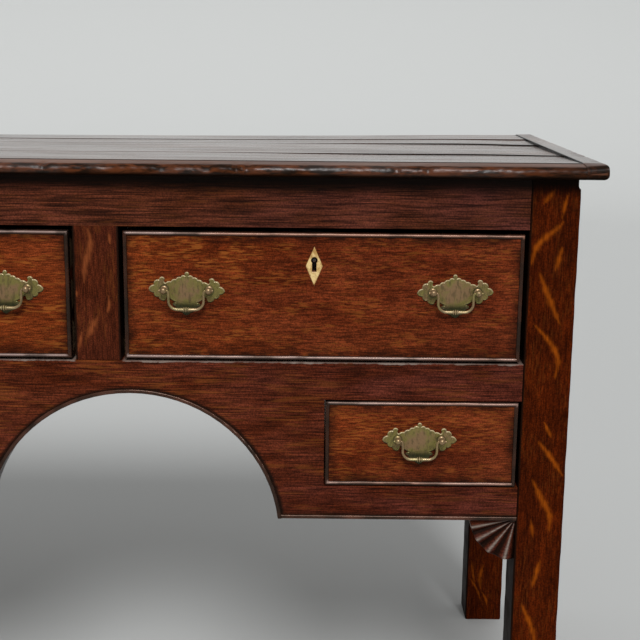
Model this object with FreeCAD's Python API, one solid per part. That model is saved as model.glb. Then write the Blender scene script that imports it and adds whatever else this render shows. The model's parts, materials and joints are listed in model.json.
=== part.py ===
"""Oak dresser base: three drawers over a double-arched apron with two small drawers, on square legs.

Millimetres. X runs along the front, Y from front to back, Z up. The origin is on the floor, under the
middle of the top. The front face looks along -Y.
"""
import FreeCAD, Part
import math
import os

Vector = FreeCAD.Vector
X_AXIS = Vector(1, 0, 0)
Y_AXIS = Vector(0, 1, 0)
Z_AXIS = Vector(0, 0, 1)
ORIGIN = Vector(0, 0, 0)
SAME_PLACE = 1e-6

# Overall sizes
HEIGHT = 800.0
FRAME_DEPTH = 501.0
SIDE_OVERHANG = 27.0
FRONT_OVERHANG = 23.0
BACK_OVERHANG = 12.0
LEG = 59.0
LEG_EDGE_ROUND = 1.5

# Top: four boards held by a cleat at each end
TOP_THICK = 18.0
TOP_FRONT_BOARD_WIDTH = 160.0
TOP_SECOND_BOARD_WIDTH = 190.0
TOP_THIRD_BOARD_WIDTH = 90.0
TOP_BOARD_GAP = 0.8
CLEAT_WIDTH = 26.0
CLEAT_TONGUE = 12.0
CLEAT_TONGUE_THICK = 6.0
CLEAT_GROOVE_SPARE = 0.6
NOSE_TOP_ROUND = 7.0
NOSE_BOTTOM_ROUND = 6.0
THUMB_STEP = 0.8
THUMB_WIDTH = 22.0

# Front frame
RAIL_THICK = 30.0
TOP_RAIL_HEIGHT = 62.0
OPENING_WIDTH = 490.0
OPENING_HEIGHT = 165.0
MUNTIN_WIDTH = 55.0
MID_RAIL_HEIGHT = 47.0
SMALL_OPENING_WIDTH = 242.0
SMALL_OPENING_HEIGHT = 111.5
LOWER_RAIL_HEIGHT = 43.5
ARCH_TO_SMALL_DRAWER = 57.0
CENTRE_BLOCK_WIDTH = 257.0
ARCH_RISE = 161.0
EDGE_BEAD = 5.0
BEAD_PROUD = 2.0
BEAD_NOSE_ROUND = 1.6

# Fan brackets under the apron
BRACKET_RADIUS = 56.5
BRACKET_THICK = 24.0
BRACKET_SETBACK = 5.0
BRACKET_FLUTES = 5
FLUTE_RIM_RADIUS = 6.0
FLUTE_ROOT_RADIUS = 0.8

# Mortise and tenon joints
TENON_THICK = 10.0
TENON_SETBACK = 10.0
TENON_WALL = 5.0
TENON_SHOULDER = 8.0
MUNTIN_TENON = 20.0

# Ends and back
END_RAIL_THICK = 24.0
END_RAIL_INSET = 5.0
END_LOWER_RAIL_HEIGHT = 60.0
END_PANEL_THICK = 10.0
PANEL_GROOVE = 6.0
BACK_RAIL_THICK = 22.0
BACK_BOARD_THICK = 12.0
BACK_REBATE = 14.0
BACK_TOP_RAIL_HEIGHT = 75.0
BACK_MID_RAIL_HEIGHT = 50.0
BACK_MID_RAIL_ABOVE_RUNNER = 10.0
BACK_LOW_RAIL_HEIGHT = 42.0
BACK_BOARD_COUNT = 3
BACK_BOARD_GAP = 0.8

# Drawer supports
RUNNER_THICK = 25.0
SMALL_RUNNER_THICK = 20.0
RUNNER_BEARING = 20.0
GUIDE_HEIGHT = 20.0
GUIDE_CLEARANCE = 1.5
SMALL_GUIDE_WIDTH = 18.0
SMALL_GUIDE_HEIGHT = 30.0
SMALL_STUB_HEIGHT = 16.0
SMALL_STUB_ABOVE_RUNNER = 8.0
KICKER_THICK = 22.0
STUB_WALL = 2.0
STUB_SHOULDER = 5.0
RUNNING_CLEARANCE = 0.3

# Drawers
GAP_SIDE = 5.0
GAP_TOP = 6.0
GAP_BOTTOM = 3.0
SMALL_GAP_LEG = 3.5
SMALL_GAP_INNER = 1.5
SMALL_GAP_TOP = 2.0
SMALL_GAP_BOTTOM = 1.5
FRONT_THICK = 22.0
COCK_BEAD = 5.0
COCK_BEAD_DEPTH = 8.0
DRAWER_SIDE_THICK = 10.0
DRAWER_BACK_THICK = 10.0
DRAWER_BOTTOM_THICK = 8.0
BOTTOM_GROOVE = 5.0
BOTTOM_LIFT = 9.0
SIDE_BELOW_FRONT_TOP = 3.0
BACK_BELOW_SIDE_TOP = 8.0
DRAWER_END_CLEARANCE = 10.0
DOVETAIL_LAP = 1.5
TAIL_PITCH = 50.0
TAIL_ROOT_SHARE = 0.55
TAIL_END_SHARE = 0.75

# Bail handles, each pair a little off the middle of its drawer
HANDLE_INSET = 83.5
HANDLE_DROP = 75.7
HANDLES_OFF_CENTRE = {"left": 1.5, "middle": 1.3, "right": -2.6}
SMALL_HANDLE_DROP = 49.5
SMALL_HANDLE_OFF_CENTRE = 2.0
PLATE_THICK = 1.2
POST_HALF_SPACING = 27.0
POST_SHANK_RADIUS = 2.2
POST_HOLE_CLEARANCE = 0.1
POST_FLANGE_RADIUS = 4.2
POST_FLANGE_THICK = 1.0
POST_REACH = 9.0
POST_BALL_RADIUS = 3.75
NUT_WIDTH = 10.0
NUT_THICK = 4.0
SHANK_PAST_NUT = 1.5
BAIL_PIN_RADIUS = 1.2
BAIL_PIN_CLEARANCE = 0.08
BAIL_NIB = 1.6
BAIL_SIDE_CLEARANCE = 0.4
BAIL_WIRE_RADIUS = 1.6
BAIL_ELBOW_RADIUS = 1.8
BAIL_GRIP_RADIUS = 2.2
BAIL_GRIP_HALF = 10.0
BAIL_DROP = 23.0
BAIL_CORNER = 10.5
COLLAR_RADII = (2.9, 3.4, 2.9)
COLLAR_RING = 1.8

# Locks
KEYHOLE_OFFSET = -11.0
ESCUTCHEON_DROP = 46.0
ESCUTCHEON_HEIGHT = 48.0
ESCUTCHEON_WIDTH = 20.5
ESCUTCHEON_THICK = 1.5
KEYHOLE_RADIUS = 4.0
KEYHOLE_RISE = 6.8
KEYHOLE_SLOT_WIDTH = 5.4
KEYHOLE_SLOT_DROP = 13.8
LOCK_WIDTH = 62.0
LOCK_HEIGHT = 58.0
LOCK_THICK = 13.0
LOCK_WALL = 2.0
LOCK_PIN_RADIUS = 2.0
LOCK_PIN_SHORT_OF_FACE = 3.0
BOLT_WIDTH = 28.0
BOLT_HEIGHT = 25.0
BOLT_THICK = 6.0
BOLT_BELOW_EDGE = 1.0
BOLT_MORTISE_DEPTH = 10.0
BOLT_MORTISE_CLEARANCE = 1.5

# Right half of a handle plate, from the finial down to the pendant: each arc's middle and end, across and
# up from the line of the posts
PLATE_TOP = (0.0, 21.3)
PLATE_ARCS = (
    ((2.7, 19.2), (2.0, 16.4)),
    ((5.2, 17.0), (7.6, 14.6)),
    ((11.0, 14.4), (13.4, 11.9)),
    ((16.8, 11.6), (19.2, 9.0)),
    ((22.6, 9.0), (25.6, 7.0)),
    ((27.2, 8.8), (26.4, 11.6)),
    ((29.8, 14.4), (33.4, 10.6)),
    ((38.2, 9.6), (39.6, 4.4)),
    ((43.4, 3.0), (46.0, -1.1)),
    ((43.2, -4.8), (39.4, -5.4)),
    ((38.0, -9.8), (33.6, -10.4)),
    ((31.0, -14.4), (25.8, -14.8)),
    ((24.4, -12.0), (23.2, -8.6)),
    ((18.9, -13.0), (12.6, -16.4)),
    ((14.6, -16.6), (16.6, -17.8)),
    ((16.4, -20.2), (13.6, -20.8)),
    ((13.0, -22.8), (10.8, -24.8)),
    ((8.6, -27.4), (5.2, -28.6)),
    ((3.0, -30.8), (0.0, -32.2)),
)

# Places worked out from the sizes
CARCASS_TOP = HEIGHT - TOP_THICK
INNER_HALF = 1.5 * OPENING_WIDTH + MUNTIN_WIDTH
FRAME_HALF = INNER_HALF + LEG
TOP_HALF = FRAME_HALF + SIDE_OVERHANG
TOP_DEPTH = FRONT_OVERHANG + FRAME_DEPTH + BACK_OVERHANG
TOP_FRONT_Y = -TOP_DEPTH / 2
TOP_BACK_Y = TOP_DEPTH / 2
FACE_Y = TOP_FRONT_Y + FRONT_OVERHANG
BACK_Y = TOP_BACK_Y - BACK_OVERHANG
RAIL_BACK_Y = FACE_Y + RAIL_THICK
LEG_FRONT_Y = FACE_Y + LEG
LEG_BACK_Y = BACK_Y - LEG
BACK_BOARD_Y = BACK_Y - BACK_BOARD_THICK
BACK_RAIL_Y = BACK_BOARD_Y - BACK_RAIL_THICK

OPENING_TOP = CARCASS_TOP - TOP_RAIL_HEIGHT
APRON_TOP = OPENING_TOP - OPENING_HEIGHT
SMALL_TOP = APRON_TOP - MID_RAIL_HEIGHT
SMALL_BOTTOM = SMALL_TOP - SMALL_OPENING_HEIGHT
APRON_BOTTOM = SMALL_BOTTOM - LOWER_RAIL_HEIGHT
SMALL_INNER_X = INNER_HALF - SMALL_OPENING_WIDTH
DRAWER_PITCH = OPENING_WIDTH + MUNTIN_WIDTH
MUNTIN_X = DRAWER_PITCH / 2
BIG_DRAWERS = (("left", -DRAWER_PITCH), ("middle", 0.0), ("right", DRAWER_PITCH))
HANDLE_OFFSET = OPENING_WIDTH / 2 - HANDLE_INSET

TENON_LENGTH = LEG - TENON_SETBACK - TENON_THICK - TENON_WALL
STUB_LENGTH = RAIL_THICK - TENON_SETBACK - TENON_THICK - STUB_WALL
FRONT_TENON_Y = FACE_Y + TENON_SETBACK
BACK_TENON_Y = BACK_RAIL_Y + (BACK_RAIL_THICK - TENON_THICK) / 2

ARCH_INNER_X = CENTRE_BLOCK_WIDTH / 2
ARCH_OUTER_X = SMALL_INNER_X - ARCH_TO_SMALL_DRAWER
ARCH_X = (ARCH_INNER_X + ARCH_OUTER_X) / 2
ARCH_HALF = (ARCH_OUTER_X - ARCH_INNER_X) / 2
ARCH_RADIUS = (ARCH_HALF ** 2 + ARCH_RISE ** 2) / (2 * ARCH_RISE)
ARCH_Z = APRON_BOTTOM + ARCH_RISE - ARCH_RADIUS

END_RAIL_OUTER_X = FRAME_HALF - END_RAIL_INSET
END_RAIL_INNER_X = END_RAIL_OUTER_X - END_RAIL_THICK
END_LINE_X = (END_RAIL_OUTER_X + END_RAIL_INNER_X) / 2
END_PANEL_INNER_X = END_LINE_X - END_PANEL_THICK / 2
END_LOWER_RAIL_TOP = APRON_BOTTOM + END_LOWER_RAIL_HEIGHT

BACK_MID_RAIL_TOP = APRON_TOP + BACK_MID_RAIL_ABOVE_RUNNER
SMALL_STUB_Z = SMALL_BOTTOM + SMALL_STUB_ABOVE_RUNNER
BACK_LOW_RAIL_Z = SMALL_STUB_Z + (SMALL_STUB_HEIGHT - BACK_LOW_RAIL_HEIGHT) / 2

FRONT_BACK_Y = FACE_Y + FRONT_THICK
BOX_END_Y = BACK_RAIL_Y - DRAWER_END_CLEARANCE
PLATE_FRONT_Y = FACE_Y - PLATE_THICK
PIVOT_Y = PLATE_FRONT_Y - POST_REACH
BAIL_ARM_X = POST_HALF_SPACING - POST_BALL_RADIUS - BAIL_SIDE_CLEARANCE - BAIL_ELBOW_RADIUS
BOLT_Y = FRONT_BACK_Y - (LOCK_THICK + BOLT_THICK) / 2


def box(x0, x1, y0, y1, z0, z1):
    """Block between two corners."""
    return Part.makeBox(x1 - x0, y1 - y0, z1 - z0, Vector(x0, y0, z0))


def prism_xz(points, y0, y1):
    """Outline in the front plane, carried from y0 back to y1."""
    corners = [Vector(x, y0, z) for x, z in points]
    face = Part.Face(Part.makePolygon(corners + corners[:1]))
    return face.extrude(Vector(0, y1 - y0, 0))


def prism_yz(points, x0, x1):
    """Outline in the side plane, carried from x0 to x1."""
    corners = [Vector(x0, y, z) for y, z in points]
    face = Part.Face(Part.makePolygon(corners + corners[:1]))
    return face.extrude(Vector(x1 - x0, 0, 0))


def rod(radius, x, y, z, axis, length):
    """Round bar that starts at a point and runs along an axis."""
    return Part.makeCylinder(radius, length, Vector(x, y, z), axis)


def joined(first, *others):
    """One solid from pieces that meet or cross."""
    return first.fuse(list(others)).removeSplitter()


def without(shape, tools):
    """A shape less each of the tools."""
    return shape.cut(list(tools))


def other_end(shape):
    """The same shape at the other end of the dresser."""
    return shape.mirror(ORIGIN, X_AXIS)


def both_ends(shapes):
    """Shapes at the right-hand end, and the same at the left."""
    return list(shapes) + [other_end(shape) for shape in shapes]


def runs_along(edge, axis):
    """Whether a straight edge lies along an axis."""
    ends = edge.Vertexes
    if len(ends) < 2:
        return False
    run = ends[1].Point.sub(ends[0].Point)
    return run.Length - abs(run.dot(axis)) < SAME_PLACE


def at(value, place):
    """Whether two places agree."""
    return abs(value - place) < SAME_PLACE


def rounded(shape, radius, chosen):
    """A shape with the edges that the test chooses rounded."""
    return shape.makeFillet(radius, [edge for edge in shape.Edges if chosen(edge)])


def save(name, *shapes):
    """Writes the solids of one node, and says what they are."""
    solids = [solid for shape in shapes for solid in shape.Solids]
    for solid in solids:
        if not solid.isValid() or solid.Volume <= 0:
            print("FAULT", name, solid.isValid(), solid.Volume)
    whole = solids[0] if len(solids) == 1 else Part.makeCompound(solids)
    whole.exportStep("parts/" + name + ".step")
    print(name, len(solids), round(sum(solid.Volume for solid in solids)))


# Top


def nosed(shape, with_end):
    """Cuts the thumb step along the front, and along a cleat's outer end, and rounds the nose below it."""
    step_z = HEIGHT - THUMB_STEP
    steps = [box(-TOP_HALF, TOP_HALF, TOP_FRONT_Y, TOP_FRONT_Y + THUMB_WIDTH, step_z, HEIGHT)]
    if with_end:
        steps.append(box(TOP_HALF - THUMB_WIDTH, TOP_HALF, TOP_FRONT_Y, TOP_BACK_Y, step_z, HEIGHT))
    shape = without(shape, steps)

    def on_nose(edge, level):
        centre = edge.CenterOfMass
        front = runs_along(edge, X_AXIS) and at(centre.y, TOP_FRONT_Y)
        end = with_end and runs_along(edge, Y_AXIS) and at(centre.x, TOP_HALF)
        return at(centre.z, level) and (front or end)

    shape = rounded(shape, NOSE_BOTTOM_ROUND, lambda edge: on_nose(edge, CARCASS_TOP))
    return rounded(shape, NOSE_TOP_ROUND, lambda edge: on_nose(edge, step_z))


def make_top():
    """Four boards with tongues at their ends, and the two cleats that the tongues enter."""
    board_half = TOP_HALF - CLEAT_WIDTH
    tongue_z = CARCASS_TOP + (TOP_THICK - CLEAT_TONGUE_THICK) / 2
    tongue_top = tongue_z + CLEAT_TONGUE_THICK
    tongue_half = board_half + CLEAT_TONGUE
    tongue_front = TOP_FRONT_Y + THUMB_WIDTH
    half_gap = TOP_BOARD_GAP / 2
    first = TOP_FRONT_Y + TOP_FRONT_BOARD_WIDTH
    second = first + TOP_SECOND_BOARD_WIDTH
    third = second + TOP_THIRD_BOARD_WIDTH
    front = nosed(box(-board_half, board_half, TOP_FRONT_Y, first - half_gap, CARCASS_TOP, HEIGHT), False)
    tongue = box(-tongue_half, tongue_half, tongue_front, first - half_gap, tongue_z, tongue_top)
    save("top_board_front", joined(front, tongue))
    spans = (
        ("top_board_second", first + half_gap, second - half_gap),
        ("top_board_third", second + half_gap, third - half_gap),
        ("top_board_back", third + half_gap, TOP_BACK_Y),
    )
    for name, y0, y1 in spans:
        board = box(-board_half, board_half, y0, y1, CARCASS_TOP, HEIGHT)
        save(name, joined(board, box(-tongue_half, tongue_half, y0, y1, tongue_z, tongue_top)))
    cleat = nosed(box(board_half, TOP_HALF, TOP_FRONT_Y, TOP_BACK_Y, CARCASS_TOP, HEIGHT), True)
    groove_end = tongue_half + CLEAT_GROOVE_SPARE
    cleat = cleat.cut(box(board_half, groove_end, tongue_front, TOP_BACK_Y, tongue_z, tongue_top))
    save("top_cleat_right", cleat)
    save("top_cleat_left", other_end(cleat))


# Joints of the frame, all given for the right-hand end


def front_tenon(z0, z1):
    """Tenon of a front rail into the front leg."""
    return box(INNER_HALF, INNER_HALF + TENON_LENGTH, FRONT_TENON_Y, FRONT_TENON_Y + TENON_THICK,
               z0 + TENON_SHOULDER, z1 - TENON_SHOULDER)


def back_tenon(z0, z1):
    """Tenon of a back rail into the back leg."""
    return box(INNER_HALF, INNER_HALF + TENON_LENGTH, BACK_TENON_Y, BACK_TENON_Y + TENON_THICK,
               z0 + TENON_SHOULDER, z1 - TENON_SHOULDER)


def end_tenon(y0, y1, z0, z1):
    """Tenon of an end rail into a leg."""
    return box(END_LINE_X - TENON_THICK / 2, END_LINE_X + TENON_THICK / 2, y0, y1,
               z0 + TENON_SHOULDER, z1 - TENON_SHOULDER)


def muntin_tenon(z0, z1):
    """Tenon of the right-hand muntin into the rail above or the apron below."""
    half = MUNTIN_WIDTH / 2 - TENON_SHOULDER
    return box(MUNTIN_X - half, MUNTIN_X + half, FRONT_TENON_Y, FRONT_TENON_Y + TENON_THICK, z0, z1)


TOP_RAIL_SPAN = (OPENING_TOP, CARCASS_TOP)
MID_RAIL_SPAN = (SMALL_TOP, APRON_TOP)
LOWER_RAIL_SPAN = (APRON_BOTTOM, SMALL_BOTTOM)
END_RAIL_SPANS = ((OPENING_TOP, CARCASS_TOP), (APRON_BOTTOM, END_LOWER_RAIL_TOP))
BACK_RAIL_SPANS = (
    (CARCASS_TOP - BACK_TOP_RAIL_HEIGHT, CARCASS_TOP),
    (BACK_MID_RAIL_TOP - BACK_MID_RAIL_HEIGHT, BACK_MID_RAIL_TOP),
    (BACK_LOW_RAIL_Z, BACK_LOW_RAIL_Z + BACK_LOW_RAIL_HEIGHT),
)


# Drawer supports, given for the right-hand half


def stub(x0, x1, z0, z1, at_back):
    """Stub tenon at the front or back end of a drawer support."""
    y0 = BACK_RAIL_Y if at_back else RAIL_BACK_Y - STUB_LENGTH
    return box(x0, x1, y0, y0 + STUB_LENGTH, z0, z1)


def support(x0, x1, z0, z1):
    """Level bar from the front frame to the back rail, with its two stub tenons."""
    stubs = [stub(x0 + STUB_SHOULDER, x1 - STUB_SHOULDER, z0 + STUB_SHOULDER, z1 - STUB_SHOULDER, end)
             for end in (False, True)]
    return joined(box(x0, x1, RAIL_BACK_Y, BACK_RAIL_Y, z0, z1), *stubs)


def muntin_support(z0, z1):
    """Support behind a muntin, shared by the drawers on its two sides."""
    half = MUNTIN_WIDTH / 2 + RUNNER_BEARING
    return support(MUNTIN_X - half, MUNTIN_X + half, z0, z1)


def end_support(outer_x, z0, z1):
    """Support at the end, widened between the legs."""
    bar = support(INNER_HALF - RUNNER_BEARING, INNER_HALF, z0, z1)
    return joined(bar, box(INNER_HALF, outer_x, LEG_FRONT_Y, LEG_BACK_Y, z0, z1))


def big_runners():
    """Runners under the three top drawers."""
    z0 = APRON_TOP - RUNNER_THICK
    return [muntin_support(z0, APRON_TOP), end_support(END_PANEL_INNER_X, z0, APRON_TOP)]


def kickers():
    """Bars over the top drawers' sides, which keep a pulled drawer from tipping."""
    z1 = OPENING_TOP + KICKER_THICK
    return [muntin_support(OPENING_TOP, z1), end_support(END_RAIL_INNER_X, OPENING_TOP, z1)]


def guides():
    """Strips on the runners that keep the top drawers straight."""
    z1 = APRON_TOP + GUIDE_HEIGHT
    spread = GAP_SIDE - GUIDE_CLEARANCE
    half = MUNTIN_WIDTH / 2 + spread
    middle = box(MUNTIN_X - half, MUNTIN_X + half, RAIL_BACK_Y, BACK_RAIL_Y, APRON_TOP, z1)
    end = box(INNER_HALF - spread, END_PANEL_INNER_X, LEG_FRONT_Y, LEG_BACK_Y, APRON_TOP, z1)
    return [without(middle, back_rails_plain()), end]


def back_rails_plain():
    """The three back rails without their joints."""
    return [box(-INNER_HALF, INNER_HALF, BACK_RAIL_Y, BACK_BOARD_Y, z0, z1) for z0, z1 in BACK_RAIL_SPANS]


def small_inner_runner():
    """Rebated bearer for a small drawer's inner side, from the apron to the low back rail."""
    x0 = SMALL_INNER_X - SMALL_GUIDE_WIDTH
    z0 = SMALL_BOTTOM - SMALL_RUNNER_THICK
    guide_x = SMALL_INNER_X + SMALL_GAP_INNER - GUIDE_CLEARANCE
    bearing = box(x0, SMALL_INNER_X + RUNNER_BEARING, RAIL_BACK_Y, BACK_RAIL_Y, z0, SMALL_BOTTOM)
    guide = box(x0, guide_x, RAIL_BACK_Y, BACK_RAIL_Y, SMALL_BOTTOM, SMALL_BOTTOM + SMALL_GUIDE_HEIGHT)
    return joined(bearing, guide, *small_inner_stubs())


def small_inner_stubs():
    """Stub tenons of the inner bearer: low at the front, high at the back."""
    x0 = SMALL_INNER_X - SMALL_GUIDE_WIDTH
    low = SMALL_BOTTOM - SMALL_RUNNER_THICK + STUB_SHOULDER
    front = stub(x0, SMALL_INNER_X, low, SMALL_BOTTOM - STUB_SHOULDER, False)
    back = stub(x0 + STUB_SHOULDER, SMALL_INNER_X, SMALL_STUB_Z, SMALL_STUB_Z + SMALL_STUB_HEIGHT, True)
    return [front, back]


def small_outer_runner():
    """Rebated bearer for a small drawer's outer side, held between the legs."""
    z0 = SMALL_BOTTOM - SMALL_RUNNER_THICK
    guide_x = INNER_HALF - SMALL_GAP_LEG + GUIDE_CLEARANCE
    outer_x = INNER_HALF + SMALL_GUIDE_WIDTH
    front_end = box(INNER_HALF - RUNNER_BEARING, INNER_HALF, RAIL_BACK_Y, LEG_FRONT_Y, z0, SMALL_BOTTOM)
    bearing = box(INNER_HALF - RUNNER_BEARING, outer_x, LEG_FRONT_Y, LEG_BACK_Y, z0, SMALL_BOTTOM)
    guide = box(guide_x, outer_x, LEG_FRONT_Y, LEG_BACK_Y, SMALL_BOTTOM, SMALL_BOTTOM + SMALL_GUIDE_HEIGHT)
    return joined(front_end, bearing, guide, small_outer_tenon())


def small_outer_tenon():
    """Bar of the outer bearer that enters both legs."""
    low = SMALL_BOTTOM - SMALL_RUNNER_THICK + STUB_SHOULDER
    return box(INNER_HALF + STUB_SHOULDER, INNER_HALF + SMALL_GUIDE_WIDTH - STUB_SHOULDER,
               LEG_FRONT_Y - STUB_LENGTH, LEG_BACK_Y + STUB_LENGTH, low, SMALL_BOTTOM - STUB_SHOULDER)


def make_supports():
    """Runners under the drawers, and the guides and kickers of the top ones."""
    runners = big_runners() + [small_inner_runner(), small_outer_runner()]
    save("drawer_runners", *both_ends(runners))
    save("drawer_guides_and_kickers", *both_ends(guides() + kickers()))


# Frame


def end_panel():
    """Board let into grooves in the legs and rails of the right-hand end."""
    return box(END_PANEL_INNER_X, END_PANEL_INNER_X + END_PANEL_THICK,
               LEG_FRONT_Y - PANEL_GROOVE, LEG_BACK_Y + PANEL_GROOVE,
               END_LOWER_RAIL_TOP - PANEL_GROOVE, OPENING_TOP + PANEL_GROOVE)


def square_leg(y0):
    """Leg with its upright edges eased."""
    leg = box(INNER_HALF, FRAME_HALF, y0, y0 + LEG, 0, CARCASS_TOP)
    return rounded(leg, LEG_EDGE_ROUND, lambda edge: runs_along(edge, Z_AXIS))


def make_legs():
    """Front legs take the front rails, back legs the back rails, and all take the end rails and panels."""
    front_cuts = [front_tenon(*span) for span in (TOP_RAIL_SPAN, MID_RAIL_SPAN, LOWER_RAIL_SPAN)]
    back_cuts = [back_tenon(*span) for span in BACK_RAIL_SPANS]
    for span in END_RAIL_SPANS:
        front_cuts.append(end_tenon(LEG_FRONT_Y - TENON_LENGTH, LEG_FRONT_Y, *span))
        back_cuts.append(end_tenon(LEG_BACK_Y, LEG_BACK_Y + TENON_LENGTH, *span))
    shared = [end_panel(), small_outer_tenon()]
    rebate = box(INNER_HALF, INNER_HALF + BACK_REBATE, BACK_BOARD_Y, BACK_Y, BACK_LOW_RAIL_Z, CARCASS_TOP)
    front = without(square_leg(FACE_Y), front_cuts + shared)
    back = without(square_leg(LEG_BACK_Y), back_cuts + shared + [rebate])
    save("leg_front_right", front)
    save("leg_front_left", other_end(front))
    save("leg_back_right", back)
    save("leg_back_left", other_end(back))


def bolt_mortise(centre_x):
    """Socket in the top rail for a lock's bolt."""
    half = BOLT_WIDTH / 2 + BOLT_MORTISE_CLEARANCE
    x = centre_x + KEYHOLE_OFFSET
    return box(x - half, x + half, BOLT_Y - BOLT_MORTISE_CLEARANCE,
               BOLT_Y + BOLT_THICK + BOLT_MORTISE_CLEARANCE, OPENING_TOP, OPENING_TOP + BOLT_MORTISE_DEPTH)


def make_front_rails():
    """Top rail and the two muntins."""
    rail = box(-INNER_HALF, INNER_HALF, FACE_Y, RAIL_BACK_Y, *TOP_RAIL_SPAN)
    rail = joined(rail, *both_ends([front_tenon(*TOP_RAIL_SPAN)]))
    upper = muntin_tenon(OPENING_TOP, OPENING_TOP + MUNTIN_TENON)
    lower = muntin_tenon(APRON_TOP - MUNTIN_TENON, APRON_TOP)
    cuts = both_ends([upper] + kickers()) + [bolt_mortise(x) for _, x in BIG_DRAWERS]
    save("top_rail", without(rail, cuts))
    half = MUNTIN_WIDTH / 2
    muntin = box(MUNTIN_X - half, MUNTIN_X + half, FACE_Y, RAIL_BACK_Y, APRON_TOP, OPENING_TOP)
    muntin = joined(muntin, upper, lower)
    save("muntin_right", muntin)
    save("muntin_left", other_end(muntin))


def arch(radius, y0, y1):
    """Round bar along the right-hand arch's axis."""
    return rod(radius, ARCH_X, y0, ARCH_Z, Y_AXIS, y1 - y0)


def make_apron():
    """Apron board with two arches and two drawer openings that run up to the legs."""
    board = box(-INNER_HALF, INNER_HALF, FACE_Y, RAIL_BACK_Y, APRON_BOTTOM + EDGE_BEAD, APRON_TOP)
    opening = box(SMALL_INNER_X, INNER_HALF, FACE_Y, RAIL_BACK_Y, SMALL_BOTTOM, SMALL_TOP)
    board = without(board, both_ends([arch(ARCH_RADIUS + EDGE_BEAD, FACE_Y, RAIL_BACK_Y), opening]))
    board = joined(board, *both_ends([front_tenon(*MID_RAIL_SPAN), front_tenon(*LOWER_RAIL_SPAN)]))
    lower = muntin_tenon(APRON_TOP - MUNTIN_TENON, APRON_TOP)
    cuts = [lower] + big_runners() + small_inner_stubs()
    save("apron", without(board, both_ends(cuts)))


def make_apron_bead():
    """Rounded strip that edges the arches and the apron's lower edge."""
    y0 = FACE_Y - BEAD_PROUD
    outer = ARCH_RADIUS + EDGE_BEAD
    ring = arch(outer, y0, RAIL_BACK_Y).cut(arch(ARCH_RADIUS, y0, RAIL_BACK_Y))
    ring = rounded(ring, BEAD_NOSE_ROUND, lambda edge: at(edge.BoundBox.YMax, y0))
    above = box(ARCH_X - outer, ARCH_X + outer, y0, RAIL_BACK_Y, APRON_BOTTOM, ARCH_Z + outer)
    strip = box(-INNER_HALF, INNER_HALF, y0, RAIL_BACK_Y, APRON_BOTTOM, APRON_BOTTOM + EDGE_BEAD)
    strip = rounded(strip, BEAD_NOSE_ROUND, lambda edge: runs_along(edge, X_AXIS) and at(edge.CenterOfMass.y, y0))
    strips = without(strip, both_ends([arch(outer, y0, RAIL_BACK_Y)]))
    save("apron_bead", *both_ends([ring.common(above)]), strips)


def make_brackets():
    """Quarter-round bracket in the corner of apron and leg, fluted like a fan."""
    y0 = FACE_Y + BRACKET_SETBACK
    corner = Vector(INNER_HALF, y0, APRON_BOTTOM)
    quarter = box(INNER_HALF - BRACKET_RADIUS, INNER_HALF, y0, y0 + BRACKET_THICK,
                  APRON_BOTTOM - BRACKET_RADIUS, APRON_BOTTOM)
    fan = Part.makeCylinder(BRACKET_RADIUS, BRACKET_THICK, corner, Y_AXIS).common(quarter)
    flutes = []
    for number in range(BRACKET_FLUTES):
        turn = math.radians(90.0 * (number + 0.5) / BRACKET_FLUTES)
        outward = Vector(-math.cos(turn), 0, -math.sin(turn))
        flutes.append(Part.makeCone(FLUTE_ROOT_RADIUS, FLUTE_RIM_RADIUS, BRACKET_RADIUS, corner, outward))
    fan = without(fan, flutes)
    save("bracket_right", fan)
    save("bracket_left", other_end(fan))


def make_ends():
    """Two rails and a panel at each end."""
    rails = []
    for z0, z1 in END_RAIL_SPANS:
        rail = box(END_RAIL_INNER_X, END_RAIL_OUTER_X, LEG_FRONT_Y, LEG_BACK_Y, z0, z1)
        tenon = end_tenon(LEG_FRONT_Y - TENON_LENGTH, LEG_BACK_Y + TENON_LENGTH, z0, z1)
        rails.append(joined(rail, tenon).cut(end_panel()))
    save("end_rails", *both_ends(rails))
    save("end_panels", *both_ends([end_panel()]))


def make_back():
    """Three rails between the back legs, and the boards nailed to them."""
    cuts = both_ends(big_runners() + kickers() + small_inner_stubs())
    rails = []
    for rail, span in zip(back_rails_plain(), BACK_RAIL_SPANS):
        rails.append(without(joined(rail, *both_ends([back_tenon(*span)])), cuts))
    save("back_rails", *rails)
    reach = INNER_HALF + BACK_REBATE
    pitch = (CARCASS_TOP - BACK_LOW_RAIL_Z + BACK_BOARD_GAP) / BACK_BOARD_COUNT
    boards = []
    for number in range(BACK_BOARD_COUNT):
        z0 = BACK_LOW_RAIL_Z + number * pitch
        boards.append(box(-reach, reach, BACK_BOARD_Y, BACK_Y, z0, z0 + pitch - BACK_BOARD_GAP))
    save("back_boards", *boards)


# Drawers


def tails(x0, y_root, y_end, z0, z1):
    """Dovetails of a drawer side, evenly spaced up its end."""
    count = max(1, round((z1 - z0) / TAIL_PITCH))
    pitch = (z1 - z0) / count
    root = TAIL_ROOT_SHARE * pitch / 2
    end = TAIL_END_SHARE * pitch / 2
    shapes = []
    for number in range(count):
        z = z0 + (number + 0.5) * pitch
        outline = ((y_root, z - root), (y_root, z + root), (y_end, z + end), (y_end, z - end))
        shapes.append(prism_yz(outline, x0, x0 + DRAWER_SIDE_THICK))
    return shapes


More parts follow.
